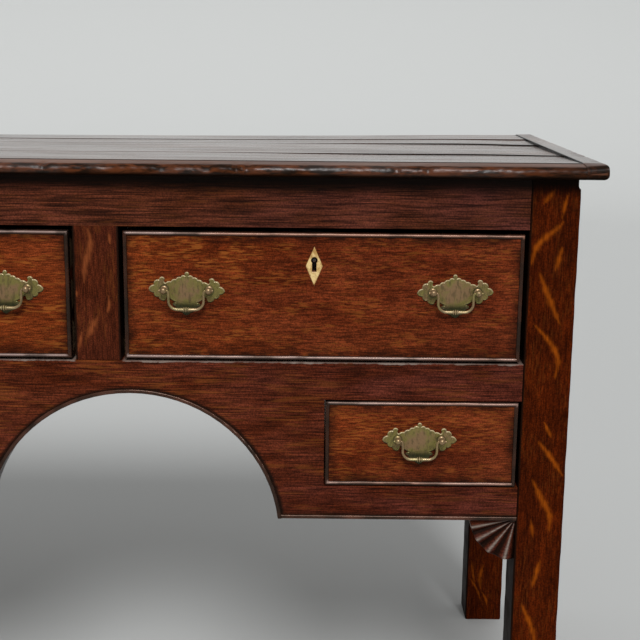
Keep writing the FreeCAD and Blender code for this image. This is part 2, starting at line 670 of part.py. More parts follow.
def cock_bead(x0, x1, z0, z1):
    """Rounded strips let into the edges of a drawer front and standing proud of it."""
    y0 = FACE_Y - BEAD_PROUD
    y1 = FACE_Y + COCK_BEAD_DEPTH
    spans = (
        (x0, x1, z1 - COCK_BEAD, z1),
        (x0, x1, z0, z0 + COCK_BEAD),
        (x0, x0 + COCK_BEAD, z0 + COCK_BEAD, z1 - COCK_BEAD),
        (x1 - COCK_BEAD, x1, z0 + COCK_BEAD, z1 - COCK_BEAD),
    )
    strips = []
    for left, right, low, high in spans:
        strip = box(left, right, y0, y1, low, high)
        along = X_AXIS if right - left > high - low else Z_AXIS
        strips.append(rounded(strip, BEAD_NOSE_ROUND,
                              lambda edge: runs_along(edge, along) and at(edge.CenterOfMass.y, y0)))
    return strips


def bead_rebate(x0, x1, z0, z1):
    """Room for the strips in the edges of a drawer front."""
    y1 = FACE_Y + COCK_BEAD_DEPTH
    whole = box(x0, x1, FACE_Y, y1, z0, z1)
    return whole.cut(box(x0 + COCK_BEAD, x1 - COCK_BEAD, FACE_Y, y1, z0 + COCK_BEAD, z1 - COCK_BEAD))


def plate_outline():
    """Closed outline of a handle plate, from the arcs of its right half."""
    right = []
    start = PLATE_TOP
    for middle, end in PLATE_ARCS:
        right.append((start, middle, end))
        start = end
    left = [tuple((-x, z) for x, z in reversed(arc_points)) for arc_points in reversed(right)]
    arcs = [Part.Arc(*[Vector(x, 0, z) for x, z in arc_points]) for arc_points in right + left]
    return Part.Wire([arc_curve.toShape() for arc_curve in arcs])


def handle_plate(x, z):
    """Shaped back plate of a handle, bored for its two posts."""
    plate = Part.Face(plate_outline()).extrude(Vector(0, PLATE_THICK, 0))
    plate.translate(Vector(x, PLATE_FRONT_Y, z))
    holes = []
    for side in (-1, 1):
        holes.append(rod(POST_SHANK_RADIUS + POST_HOLE_CLEARANCE, x + side * POST_HALF_SPACING,
                         PLATE_FRONT_Y, z, Y_AXIS, PLATE_THICK))
    return without(plate, holes)


def post(x, z):
    """Ball-headed post, bored for the bail's pin, with a shank through the drawer front."""
    tail_y = FRONT_BACK_Y + NUT_THICK + SHANK_PAST_NUT
    shank = rod(POST_SHANK_RADIUS, x, PIVOT_Y, z, Y_AXIS, tail_y - PIVOT_Y)
    flange = rod(POST_FLANGE_RADIUS, x, PLATE_FRONT_Y - POST_FLANGE_THICK, z, Y_AXIS, POST_FLANGE_THICK)
    ball = Part.makeSphere(POST_BALL_RADIUS, Vector(x, PIVOT_Y, z))
    bore = rod(BAIL_PIN_RADIUS + BAIL_PIN_CLEARANCE, x - 2 * POST_BALL_RADIUS, PIVOT_Y, z, X_AXIS,
               4 * POST_BALL_RADIUS)
    return joined(shank, flange, ball).cut(bore)


def nut(x, z):
    """Square nut that draws a post tight from inside the drawer."""
    half = NUT_WIDTH / 2
    block = box(x - half, x + half, FRONT_BACK_Y, FRONT_BACK_Y + NUT_THICK, z - half, z + half)
    return block.cut(rod(POST_SHANK_RADIUS, x, FRONT_BACK_Y, z, Y_AXIS, NUT_THICK))


def bail(x, z):
    """Swinging bail: two pins, a bent wire, and a thicker grip with a ringed collar."""
    arm = BAIL_ARM_X
    turn = BAIL_CORNER * (1 - math.sqrt(0.5))
    low = -BAIL_DROP

    def place(across, up):
        return Vector(x + across, PIVOT_Y, z + up)

    edges = [
        Part.LineSegment(place(-arm, 0), place(-arm, low + BAIL_CORNER)),
        Part.Arc(place(-arm, low + BAIL_CORNER), place(turn - arm, low + turn), place(BAIL_CORNER - arm, low)),
        Part.LineSegment(place(BAIL_CORNER - arm, low), place(arm - BAIL_CORNER, low)),
        Part.Arc(place(arm - BAIL_CORNER, low), place(arm - turn, low + turn), place(arm, low + BAIL_CORNER)),
        Part.LineSegment(place(arm, low + BAIL_CORNER), place(arm, 0)),
    ]
    path = Part.Wire([edge.toShape() for edge in edges])
    section = Part.Wire(Part.makeCircle(BAIL_WIRE_RADIUS, place(-arm, 0), Z_AXIS))
    wire = path.makePipeShell([section], True, False)
    reach = POST_HALF_SPACING + POST_BALL_RADIUS + BAIL_NIB
    pieces = [rod(BAIL_GRIP_RADIUS, x - BAIL_GRIP_HALF, PIVOT_Y, z + low, X_AXIS, 2 * BAIL_GRIP_HALF)]
    for side in (-1, 1):
        pieces.append(Part.makeSphere(BAIL_ELBOW_RADIUS, place(side * arm, 0)))
        pieces.append(rod(BAIL_PIN_RADIUS, x + side * arm, PIVOT_Y, z, X_AXIS * side, reach - arm))
    ring_x = x - COLLAR_RING * len(COLLAR_RADII) / 2
    for number, radius in enumerate(COLLAR_RADII):
        pieces.append(rod(radius, ring_x + number * COLLAR_RING, PIVOT_Y, z + low, X_AXIS, COLLAR_RING))
    return joined(wire, *pieces)


def keyhole(x, z, y0, y1):
    """Round head over a straight slot."""
    half = KEYHOLE_SLOT_WIDTH / 2
    return joined(rod(KEYHOLE_RADIUS, x, y0, z, Y_AXIS, y1 - y0),
                  box(x - half, x + half, y0, y1, z - KEYHOLE_SLOT_DROP, z))


def make_lock(name, x, z, edge_z):
    """Diamond escutcheon, lock and bolt behind it; returns what they cut from the drawer front."""
    half_wide = ESCUTCHEON_WIDTH / 2
    half_high = ESCUTCHEON_HEIGHT / 2
    diamond = ((x, z + half_high), (x + half_wide, z), (x, z - half_high), (x - half_wide, z))
    inlay = prism_xz(diamond, FACE_Y, FACE_Y + ESCUTCHEON_THICK)
    key_z = z + KEYHOLE_RISE
    hole = keyhole(x, key_z, FACE_Y, FRONT_BACK_Y - LOCK_WALL)
    save(name + "_escutcheon", inlay.cut(hole))

    case_y = FRONT_BACK_Y - LOCK_THICK
    half = LOCK_WIDTH / 2
    case = box(x - half, x + half, case_y, FRONT_BACK_Y, edge_z - LOCK_HEIGHT, edge_z)
    hollow = box(x - half + LOCK_WALL, x + half - LOCK_WALL, case_y + LOCK_WALL, FRONT_BACK_Y - LOCK_WALL,
                 edge_z - LOCK_HEIGHT + LOCK_WALL, edge_z - LOCK_WALL)
    bolt_half = BOLT_WIDTH / 2
    bolt_top = edge_z - BOLT_BELOW_EDGE
    bolt = box(x - bolt_half, x + bolt_half, BOLT_Y, BOLT_Y + BOLT_THICK, bolt_top - BOLT_HEIGHT, bolt_top)
    slot = box(x - bolt_half - RUNNING_CLEARANCE, x + bolt_half + RUNNING_CLEARANCE,
               BOLT_Y - RUNNING_CLEARANCE, BOLT_Y + BOLT_THICK + RUNNING_CLEARANCE,
               edge_z - LOCK_WALL, edge_z)
    pin_y = FACE_Y + LOCK_PIN_SHORT_OF_FACE
    pin = rod(LOCK_PIN_RADIUS, x, pin_y, key_z, Y_AXIS, FRONT_BACK_Y - LOCK_WALL - pin_y)
    save(name + "_lock", joined(without(case, [hollow, hole, slot]), pin))
    save(name + "_lock_bolt", bolt)
    return [inlay, hole, case]


def make_drawer(name, x0, x1, z0, z1, side_z0, handles, handle_z, key_x):
    """A drawer whose bead's outer edge is the given rectangle, with its handles and any lock."""
    side_z1 = z1 - SIDE_BELOW_FRONT_TOP
    bottom_z = side_z0 + BOTTOM_LIFT
    bottom_top = bottom_z + DRAWER_BOTTOM_THICK
    back_y = BOX_END_Y - DRAWER_BACK_THICK
    tail_y = FACE_Y + COCK_BEAD_DEPTH + DOVETAIL_LAP
    groove_x = DRAWER_SIDE_THICK - BOTTOM_GROOVE
    bottom = box(x0 + groove_x, x1 - groove_x, FRONT_BACK_Y - BOTTOM_GROOVE, BOX_END_Y, bottom_z, bottom_top)
    back_top = side_z1 - BACK_BELOW_SIDE_TOP
    back = box(x0, x1, back_y, BOX_END_Y, bottom_top, back_top)
    front = box(x0, x1, FACE_Y, FRONT_BACK_Y, z0, z1)
    front_cuts = [bead_rebate(x0, x1, z0, z1), bottom]
    back_cuts = []
    sides = []
    for left in (x0, x1 - DRAWER_SIDE_THICK):
        front_tails = tails(left, FRONT_BACK_Y, tail_y, z0, side_z1)
        back_tails = tails(left, back_y, BOX_END_Y, bottom_top, back_top)
        board = box(left, left + DRAWER_SIDE_THICK, FRONT_BACK_Y, back_y, side_z0, side_z1)
        sides.append(joined(board, *front_tails, *back_tails).cut(bottom))
        front_cuts += front_tails
        back_cuts += back_tails
    fittings = []
    for label, x in handles:
        fittings.append(handle_plate(x, handle_z))
        for side in (-1, 1):
            post_x = x + side * POST_HALF_SPACING
            fittings += [post(post_x, handle_z), nut(post_x, handle_z)]
            front_cuts.append(rod(POST_SHANK_RADIUS + POST_HOLE_CLEARANCE, post_x, FACE_Y, handle_z, Y_AXIS,
                                  FRONT_THICK))
        save(name + "_bail" + label, bail(x, handle_z))
    if key_x is not None:
        front_cuts += make_lock(name, key_x, OPENING_TOP - ESCUTCHEON_DROP, z1)
    save(name + "_front", without(front, front_cuts))
    save(name + "_box", *sides, without(back, back_cuts), bottom)
    save(name + "_bead", *cock_bead(x0, x1, z0, z1))
    save(name + "_handle_plates_and_posts", *fittings)


def make_drawers():
    """Three locked drawers in a row, and a small drawer low down at each end."""
    for label, x in BIG_DRAWERS:
        half = OPENING_WIDTH / 2 - GAP_SIDE
        middle = x + HANDLES_OFF_CENTRE[label]
        handles = (("_left", middle - HANDLE_OFFSET), ("_right", middle + HANDLE_OFFSET))
        make_drawer("drawer_" + label, x - half, x + half, APRON_TOP + GAP_BOTTOM, OPENING_TOP - GAP_TOP,
                    APRON_TOP + RUNNING_CLEARANCE, handles, OPENING_TOP - HANDLE_DROP, x + KEYHOLE_OFFSET)
    inner = SMALL_INNER_X + SMALL_GAP_INNER
    outer = INNER_HALF - SMALL_GAP_LEG
    handle_x = (inner + outer) / 2 - SMALL_HANDLE_OFF_CENTRE
    for label, x0, x1, x in (("left", -outer, -inner, -handle_x), ("right", inner, outer, handle_x)):
        handles = (("", x),)
        make_drawer("small_drawer_" + label, x0, x1, SMALL_BOTTOM + SMALL_GAP_BOTTOM, SMALL_TOP - SMALL_GAP_TOP,
                    SMALL_BOTTOM + RUNNING_CLEARANCE, handles, SMALL_TOP - SMALL_HANDLE_DROP, None)


os.makedirs("parts", exist_ok=True)
make_top()
make_legs()
make_front_rails()
make_apron()
make_apron_bead()
make_brackets()
make_ends()
make_back()
make_supports()
make_drawers()
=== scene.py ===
"""Old oak dresser base, dressed in waxed oak, worn brass and bone. Lengths are in metres."""
import json
import math

import bpy
import numpy as np
from mathutils import Matrix, Vector


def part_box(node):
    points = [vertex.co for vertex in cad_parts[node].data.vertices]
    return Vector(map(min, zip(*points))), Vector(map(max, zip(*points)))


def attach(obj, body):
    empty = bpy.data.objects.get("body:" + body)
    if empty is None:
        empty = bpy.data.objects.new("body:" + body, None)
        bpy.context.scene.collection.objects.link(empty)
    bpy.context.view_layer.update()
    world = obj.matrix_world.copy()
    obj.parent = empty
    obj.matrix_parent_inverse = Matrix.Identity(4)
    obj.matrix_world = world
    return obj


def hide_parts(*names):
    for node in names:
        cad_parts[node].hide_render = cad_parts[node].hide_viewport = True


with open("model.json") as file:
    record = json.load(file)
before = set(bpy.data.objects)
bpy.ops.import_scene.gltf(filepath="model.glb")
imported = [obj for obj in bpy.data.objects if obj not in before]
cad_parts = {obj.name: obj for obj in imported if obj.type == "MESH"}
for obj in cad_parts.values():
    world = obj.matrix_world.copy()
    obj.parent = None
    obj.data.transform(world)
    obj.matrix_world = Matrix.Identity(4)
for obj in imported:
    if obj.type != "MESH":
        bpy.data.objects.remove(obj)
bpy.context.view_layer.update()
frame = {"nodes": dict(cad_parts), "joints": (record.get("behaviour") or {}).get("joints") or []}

MM = 0.001
NODES = frame["nodes"]
SIDES = (("left", -1), ("right", 1))
BIG_DRAWERS = ("drawer_left", "drawer_middle", "drawer_right")
SMALL_DRAWERS = ("small_drawer_left", "small_drawer_right")
DRAWERS = BIG_DRAWERS + SMALL_DRAWERS
HINGES = {joint["child"]: np.array(joint["pos_m"]) for joint in frame["joints"] if joint["type"] == "hinge"}

# Top: sunk with age, most at the middle of its back edge, with boards that fall towards their open joints
TOP_BOARDS = ("top_board_front", "top_board_second", "top_board_third", "top_board_back")
TOP_SAG = 8.5 * MM
SAG_SHARE_AT_FRONT = 0.15
BOARD_EDGE_ROUND = 1.6 * MM
CLEAT_INNER_ROUND = 0.7 * MM
SEAM_WIDTH = 3.0 * MM
CLOSED_JOINT_WIDTH = 1.6 * MM
CLOSED_JOINT_DIRT = 0.6
# Falls of each board's front and back edge at an open joint, and more at its curled ends, in millimetres
JOINT_FALLS = ((0.0, 1.9), (0.8, 1.6), (0.4, 1.0), (0.0, 0.0))
END_CURLS = ((0.0, 1.4), (1.6, 2.8), (2.6, 1.8), (1.2, 0.8))
CURL_LENGTH = 70.0 * MM
# For each joint, how far from the middle it begins to open, and how open it is in the middle and at the end
JOINT_OPENINGS = ((360.0 * MM, 0.0, 1.0), (440.0 * MM, 0.0, 1.0), (400.0 * MM, 0.48, 0.6))
JOINT_RUN = 300.0 * MM
NOSE_BOTTOM_ROUND = 6.0 * MM
NOSE_TOP_ROUND = 8.5 * MM
THUMB_WIDTH = 29.0 * MM
THUMB_FALL = 2.6 * MM
THUMB_STEP = 0.5 * MM
PAST_THUMB = 6.0 * MM
BOARD_SPACING = 6.0 * MM
BOARD_STEP = 2.4 * MM
CLEAT_SPACING = 4.0 * MM
CLEAT_ROUND = 4.0 * MM
CLEAT_NOSE_REACH = 3.0 * MM
NOSE_CHIPS = 18
NOSE_BLACK_FROM = 740.0 * MM
CHIP_DEPTH = 2.2 * MM
CHIP_WIDTH = 9.0 * MM
WEAR_DROP = 0.7
NOTCH_WIDTH = 4.0 * MM
NOSE_NOTCHES = (218.0 * MM, 455.0 * MM, 629.0 * MM, 665.0 * MM)

# Legs, muntins, apron, drawer fronts and back
LEG_EDGE_ROUND = 1.8 * MM
MUNTIN_EDGE_ROUND = 0.7 * MM
LEG_WEAR = 0.9 * MM
MUNTIN_WEAR = 0.3 * MM
CORNER_SHARPNESS = 14
FOOT_EASE = 1.6 * MM
FOOT_DRAWN_IN = 0.8 * MM
UPRIGHT_SPACING = 1.6 * MM
UPRIGHT_STEP = 2.4 * MM
TOP_SHADE = 25.0 * MM
# A broken corner: where it starts, how deep it is, and how far it reaches back
LEG_CHIP = (769.0 * MM, 2.6 * MM, 14.0 * MM)
APRON_EDGE_WEAR = 2.0 * MM
# Arches of the apron: middle of the circle, and its radius where the bead meets the board
ARCH_X = 309.75 * MM
ARCH_Z = 329.8 * MM
ARCH_RADIUS = 189.2 * MM
# Width of the wax and painted shade beside the apron's bead
ARCH_WAX_AND_SHADE = 5.0 * MM
BACK_BOARD_COUNT = 3
EDGE_GRIME = 20.0 * MM

# Rays of the quarter-cut oak on the right front leg and right muntin: width, then points as millimetres from
# the left edge and above the floor
LEG_RAYS = (
    (5.5, ((4, 678), (7, 699), (21, 714), (35, 723), (40, 731))),
    (3.0, ((38, 735), (41, 755), (44, 764))),
    (4.5, ((33, 671), (40, 700))),
    (5.5, ((14, 669), (26, 640), (42, 605))),
    (5.0, ((11, 605), (31, 584), (44, 562), (39, 537))),
    (3.5, ((29, 482), (39, 462))),
    (5.0, ((22, 458), (38, 439), (55, 413))),
    (6.0, ((18, 407), (32, 379), (43, 362), (42, 340))),
    (3.5, ((19, 353), (22, 332))),
    (4.0, ((15, 752), (28, 769))),
    (4.5, ((33, 300), (24, 262))),
    (5.0, ((12, 240), (28, 205), (33, 180))),
    (4.0, ((40, 130), (28, 92))),
)
MUNTIN_RAYS = (
    (6.0, ((18.6, 716), (22.3, 707), (22, 697), (16.8, 682), (13.5, 668), (13, 652))),
    (2.5, ((44, 712), (45, 698))),
    (3.0, ((42, 636), (42.5, 625), (38.7, 611))),
    (6.0, ((27, 608), (19.6, 595), (15.4, 584))),
    (3.0, ((8.7, 591), (5.5, 580), (3.2, 566))),
    (2.5, ((2.5, 641), (3, 634))),
)
RAY_FADE = 7.0 * MM
RAY_STOPS = 40
RAY_SMOOTHED = 6
LEG_RAY_COUNT = 14
MUNTIN_RAY_COUNT = 6
MUNTIN_RAY_SPAN = 55

# Beads round the drawers
COCK_BEAD_WIDTH = 5.0 * MM
BEAD_STEP = 4.0 * MM
BEAD_WEAR = 0.5 * MM
BEAD_DENTS = 16
BEAD_DENT_WIDTH = 12.0 * MM
# Where a painted highlight lies across a level bead, 0 at its crown and 1 at its upper edge, and how wide
BEAD_GLEAM_PLACE = 0.35
BEAD_GLEAM_WIDTH = 0.38

# Fan brackets: degrees below the apron of each ridge and groove, and how deep it lies, 0 at the front. The
# width of the painted highlight along a ridge is in degrees too
FAN_ANGLES = (0, 13, 22, 32, 43, 54, 66, 78, 90)
FAN_DEPTHS = (0.1, 0.0, 1.0, 0.0, 1.0, 0.0, 1.0, 0.0, 0.9)
FAN_RELIEF = 6.5 * MM
FAN_RIDGE_WIDTH = 2.2
FAN_RIM = 1.5 * MM
FAN_STEP = 0.9 * MM

# Handles: plain lengths are in millimetres, places are from the middle of the line of the posts, and tilts
# are in degrees. Each arc of the plate's right half has a point on its way and its end
PLATE_TOP = (0.0, 21.3)
PLATE_ARCS = (
    ((2.7, 19.2), (2.0, 16.4)),
    ((5.2, 17.0), (7.6, 14.6)),
    ((11.0, 14.4), (13.4, 11.9)),
    ((16.8, 11.6), (19.2, 9.0)),
    ((22.6, 9.0), (25.6, 7.0)),
    ((27.2, 8.8), (26.4, 11.6)),
    ((29.8, 14.4), (33.4, 10.6)),
    ((38.2, 9.6), (39.6, 4.4)),
    ((43.4, 3.0), (46.0, -1.1)),
    ((43.2, -4.8), (39.4, -5.4)),
    ((38.0, -9.8), (33.6, -10.4)),
    ((31.0, -14.4), (25.8, -14.8)),
    ((24.4, -12.0), (23.2, -8.6)),
    ((18.9, -13.0), (12.6, -16.4)),
    ((14.6, -16.6), (16.6, -17.8)),
    ((16.4, -20.2), (13.6, -20.8)),
    ((13.0, -22.8), (10.8, -24.8)),
    ((8.6, -27.4), (5.2, -28.6)),
    ((3.0, -30.8), (0.0, -32.2)),
)
PLATE_STEP = 0.55
PLATE_TILT = {"drawer_right_bail_left": 1.4, "drawer_right_bail_right": -1.3, "drawer_middle_bail_right": 0.6,
              "drawer_left_bail_left": -0.8}
SHIELD_HALF_WIDTH = 19.0
SHIELD_HALF_HEIGHT = 14.5
SHIELD_MIDDLE_Z = -1.5
POST_HALF_SPACING = 27.0 * MM
POST_BALL_OUT = 9.0
POST_BALL_RADIUS = 4.3
POST_SIDES = 28
BAIL_REACH = 32.3
BAIL_ARM = 21.05
BAIL_ELBOW = 3.2
BAIL_DROP = 23.0
BAIL_CORNER = 10.5
BAIL_STEP = 0.3
BAIL_SIDES = 18
# Radius of a bail at lengths from its end, and its rings: length from the middle, radius and half width
BAIL_STOPS = (0, 0.3, 0.8, 1.4, 2.0, 2.6, 8.2, 9.4, 13, 20, 32, 44)
BAIL_RADII = (0.5, 1.3, 1.75, 1.75, 1.5, 1.2, 1.2, 1.75, 1.35, 1.3, 1.7, 2.0)
BAIL_RINGS = ((0, 3.4, 1.0), (2.5, 2.9, 0.9))
BAIL_RINGED = 3.6
BAIL_RING_FOOT = 1.6
BAIL_BETWEEN_RINGS = 1.5
# How brown the patina of a bail and a post is, and how bright a post is rubbed
BAIL_BROWN = 0.7
POST_BROWN = 1.0
POST_RUBBED = 0.2
NUT_WIDTH = 10.0 * MM
NUT_THICK = 4.0 * MM
SHANK_RADIUS = 2.2 * MM
SHANK_PAST_NUT = 1.5 * MM
SHANK_SIDES = 16

# Wax round the handles and a painted shadow below them: half width, half height, how far below the posts, how
# black, and how thick
HANDLE_WAX_AND_SHADOW = (
    (72.0 * MM, 46.0 * MM, 0.0, 0.0, 0.55),
    (43.0 * MM, 29.0 * MM, 14.0 * MM, 0.6, 0.75),
)

# Bone diamonds, in millimetres from the middle
DIAMOND_HALF_HEIGHT = 24.0
DIAMOND_HALF_WIDTH = 10.25
KEYHOLE_RISE = 6.8
KEYHOLE_RADIUS = 4.0
KEYHOLE_SLOT_HALF = 2.7
KEYHOLE_SLOT_DROP = 13.8
DIAMOND_STEP = 0.45

# Wavelengths of uneven lines: in metres, and those of the rays in millimetres
NOSE_WAVES = (0.013, 0.031, 0.067, 0.12, 0.26)
CORNER_WAVES = (0.043, 0.071, 0.19)
BEAD_WAVES = (0.033, 0.061, 0.17)
RAY_WAVES = (9.0, 17.0)

# Seed that each kind of uneven shape counts from
NOSE_SEED = 11
CLEAT_SEED = 30
LEG_RAY_SEED = 40
MUNTIN_RAY_SEED = 47
LEG_SEED = 50
MUNTIN_SEED = 80
BEAD_SEED = 100


# Meshes from whole arrays


def grid_quads(numbers):
    """Quads between neighbouring rows and columns of a grid of point numbers."""
    corners = (numbers[:-1, :-1], numbers[1:, :-1], numbers[1:, 1:], numbers[:-1, 1:])
    return np.stack(corners, axis=-1).reshape(-1, 4)


def bell(off, width):
    """Bell curve of a distance: 1 at its middle, falling off over the width."""
    return np.exp(-(off / width) ** 2)


def clipped(share):
    """Share kept between 0 and 1."""
    return np.clip(share, 0, 1)


def full_turn(sides):
    """Angles evenly round a circle."""
    return np.linspace(0, math.tau, sides, endpoint=False)


def ring_numbers(sections):
    """Point numbers of closed sections, a row for each, with the row's first number again at its end."""
    numbers = np.arange(sections.shape[0] * sections.shape[1]).reshape(sections.shape[:2])
    return np.hstack((numbers, numbers[:, :1]))


def carried(sections):
    """Closed outline carried along a path: quads join each section to the next, and fans from the middle
    of the first and last section close the ends."""
    ring = ring_numbers(sections)
    points = np.concatenate((sections.reshape(-1, 3), sections[:1].mean(axis=1), sections[-1:].mean(axis=1)))
    hub = np.full(sections.shape[1], len(points) - 2)
    first = np.stack((hub, ring[0, 1:], ring[0, :-1]), axis=-1)
    last = np.stack((hub + 1, ring[-1, :-1], ring[-1, 1:]), axis=-1)
    return points, [grid_quads(ring), first, last]


def carried_round(sections):
    """Closed outline carried along a path that comes back to its start, so no end needs closing."""
    ring = ring_numbers(sections)
    return sections.reshape(-1, 3), [grid_quads(np.vstack((ring, ring[:1])))]


def as_points(x, y, z):
    """Coordinates spread to one shape and joined into points."""
    return np.stack(np.broadcast_arrays(x, y, z), axis=-1)


def lengths_along(line):
    """Length along a line from its start to each of its points."""
    return np.concatenate(([0], np.cumsum(np.linalg.norm(np.diff(line, axis=0), axis=1))))


def points_at(stops, reach, line):
    """Points at the given lengths along a line."""
    return np.column_stack([np.interp(stops, reach, column) for column in line.T])


def enclosed(points, groups):
    """Volume inside the faces, from the signed tetrahedra that their fans make with the origin."""
    total = 0.0
    for faces in groups:
        for corner in range(1, faces.shape[1] - 1):
            a, b, c = points[faces[:, 0]], points[faces[:, corner]], points[faces[:, corner + 1]]
            total += np.einsum("ij,ij->", a, np.cross(b, c))
    return total


def placed(name, data):
    """New object in the scene."""
    thing = bpy.data.objects.new(name, data)
    bpy.context.scene.collection.objects.link(thing)
    return thing


def smooth_mesh(name, points, faces, material):
    """Mesh with smooth faces and one finish."""
    mesh = bpy.data.meshes.new(name)
    mesh.from_pydata(points.tolist(), [], faces)
    mesh.polygons.foreach_set("use_smooth", np.ones(len(faces), bool))
    mesh.materials.append(material)
    return mesh


def add_piece(name, shapes, body, material, replaced, marks=None, smooth_below=35):
    """Joins shapes into one mesh with its faces outwards, and sets it on its body in place of CAD nodes.
    marks are numbers for the mesh's points that its finish reads."""
    points = np.concatenate([shape[0] for shape in shapes])
    starts = np.cumsum([0] + [len(shape[0]) for shape in shapes[:-1]])
    faces = []
    for (own_points, groups), start in zip(shapes, starts):
        order = 1 if enclosed(own_points, groups) > 0 else -1
        for group in groups:
            faces.extend((group[:, ::order] + start).tolist())
    mesh = smooth_mesh(name, points, faces, material)
    mesh.set_sharp_from_angle(angle=math.radians(smooth_below))
    for mark, numbers in (marks or {}).items():
        padded = np.zeros(len(points), np.float32)
        padded[:numbers.size] = numbers.ravel()
        mesh.attributes.new(mark, "FLOAT", "POINT").data.foreach_set("value", padded)
    piece = placed(name, mesh)
    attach(piece, body)
    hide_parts(*replaced)


def arc(centre, radius, start, stop, steps):
    """Points along a circle's arc, its angles in degrees."""
    turn = np.radians(np.linspace(start, stop, steps))
    return np.column_stack((centre[0] + radius * np.cos(turn), centre[1] + radius * np.sin(turn)))


def arc_through(start, middle, end, steps):
    """Points from start to end along the circle through three points; the end itself is left out."""
    (ax, ay), (bx, by), (cx, cy) = start, middle, end
    twice = 2 * (ax * (by - cy) + bx * (cy - ay) + cx * (ay - by))
    squares = np.array((ax ** 2 + ay ** 2, bx ** 2 + by ** 2, cx ** 2 + cy ** 2))
    centre_x = squares @ (by - cy, cy - ay, ay - by) / twice
    centre_y = squares @ (cx - bx, ax - cx, bx - ax) / twice
    first = math.atan2(ay - centre_y, ax - centre_x)
    halfway = (math.atan2(by - centre_y, bx - centre_x) - first) % math.tau
    whole = (math.atan2(cy - centre_y, cx - centre_x) - first) % math.tau
    sweep = whole if halfway < whole else whole - math.tau
    turn = first + sweep * np.arange(steps) / steps
    radius = math.hypot(ax - centre_x, ay - centre_y)
    return np.column_stack((centre_x + radius * np.cos(turn), centre_y + radius * np.sin(turn)))


def rounded_rectangle(low, high, radius, steps=5):
    """Outline of a rectangle with round corners."""
    corners = (
        (high[0] - radius, high[1] - radius, 0),
        (low[0] + radius, high[1] - radius, 90),
        (low[0] + radius, low[1] + radius, 180),
        (high[0] - radius, low[1] + radius, 270),
    )
    return np.concatenate([arc((x, y), radius, turn, turn + 90, steps) for x, y, turn in corners])


def filled_in(outline, spacing):
    """Closed outline with points added along its straight runs, no further apart than the spacing."""
    closed = np.vstack((outline, outline[:1]))
    reach = lengths_along(closed)
    stops = np.unique(np.round(np.union1d(reach, np.arange(0, reach[-1], spacing)), 5))[:-1]
    return points_at(stops, reach, closed)


def wander(along, seed, lengths):
    """Smooth uneven line between about -1 and 1: the mean of sines of the given wavelengths, each with
    its own seeded start."""
    starts = np.random.default_rng(seed).uniform(0, math.tau, len(lengths))
    waves = np.sin(along[..., None] * math.tau / np.array(lengths) + starts)
    return waves.mean(axis=-1) * math.sqrt(2)


def dents(along, seed, count, low, high, width):
    """Dents at seeded places along a line, each a bell curve of up to the given width, 1 at the deepest."""
    rng = np.random.default_rng(seed)
    places = rng.uniform(low, high, count)
    widths = rng.uniform(0.25, 1.0, count) * width
    depths = rng.uniform(0.15, 1.0, count) ** 2
    return (depths * bell(along[..., None] - places, widths)).max(axis=-1)


# Shapes of the oak


TOP_LOW, TOP_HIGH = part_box("top_board_front")
TOP_FRONT_Y = TOP_LOW.y
TOP_BACK_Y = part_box("top_board_back")[1].y
TOP_UNDER, TOP_OVER = TOP_LOW.z, TOP_HIGH.z
CLEAT_INNER_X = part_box("top_cleat_right")[0].x
TOP_END_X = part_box("top_cleat_right")[1].x
RAIL_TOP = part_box("top_rail")[1].z


def settled(points, fall=0.0):
    """Lowers the top's upper face: the sag is a parabola along the front times a straight line to the back,
    and a board's own fall is added. The underside stays where it is."""
    x, y, z = np.moveaxis(points, -1, 0)
    share = clipped((z - TOP_UNDER) / (TOP_OVER - TOP_UNDER))
    back = (y - TOP_FRONT_Y) / (TOP_BACK_Y - TOP_FRONT_Y)
    sag = TOP_SAG * (1 - (x / TOP_END_X) ** 2) * (SAG_SHARE_AT_FRONT + (1 - SAG_SHARE_AT_FRONT) * back)
    lowered = points.copy()
    lowered[..., 2] = z - share * (sag + fall)
    return lowered


def joint_share(x, number):
    """How open a joint between two boards stands along the top: even about the middle, then growing along a
    smooth step to the ends. The top's own front and back edge are no joint and give 0."""
    if not 0 <= number < len(JOINT_OPENINGS):
        return np.zeros(x.shape)
    start, least, most = JOINT_OPENINGS[number]
    step = clipped((np.abs(x) - start) / JOINT_RUN)
    return least + (most - least) * step ** 2 * (3 - 2 * step)


def seam_dirt(gap, z, width=SEAM_WIDTH):
    """How much dirt lies at a joint: a bell curve of the distance from it, on the upper face only."""
    return bell(gap, width) * (z > TOP_UNDER + 0.5 * (TOP_OVER - TOP_UNDER))


def joint_dirt(gap, x, z, number):
    """Dirt at a joint between two boards: as wide as it stands open, and a narrow line where it is closed."""
    if not 0 <= number < len(JOINT_OPENINGS):
        return np.zeros(x.shape)
    closed = CLOSED_JOINT_DIRT * seam_dirt(gap, z, CLOSED_JOINT_WIDTH)
    return np.maximum(joint_share(x, number) * seam_dirt(gap, z), closed)


def board_fall(node, points):
    """How far a board lies below the top, and the dirt along its edges. The fall goes straight from its front
    edge to its back edge, each by its joint's share, and its ends curl down along a bell curve."""
    number = TOP_BOARDS.index(node)
    low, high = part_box(node)
    x, y, z = np.moveaxis(points, -1, 0)
    before, behind = joint_share(x, number - 1), joint_share(x, number)
    end = bell(CLEAT_INNER_X - np.abs(x), CURL_LENGTH)
    front = JOINT_FALLS[number][0] * before + END_CURLS[number][0] * end
    back = JOINT_FALLS[number][1] * behind + END_CURLS[number][1] * end
    fall = front + (back - front) * (y - low.y) / (high.y - low.y)
    dirt = np.maximum(joint_dirt(y - low.y, x, z, number - 1), joint_dirt(high.y - y, x, z, number))
    at_cleat = past_thumb(y - TOP_FRONT_Y) * seam_dirt(CLEAT_INNER_X - np.abs(x), z)
    return fall * MM, np.maximum(dirt, at_cleat)


def past_thumb(ahead):
    """Straight rise from 0 on the thumb to 1 behind it."""
    return clipped((ahead - THUMB_WIDTH) / PAST_THUMB)


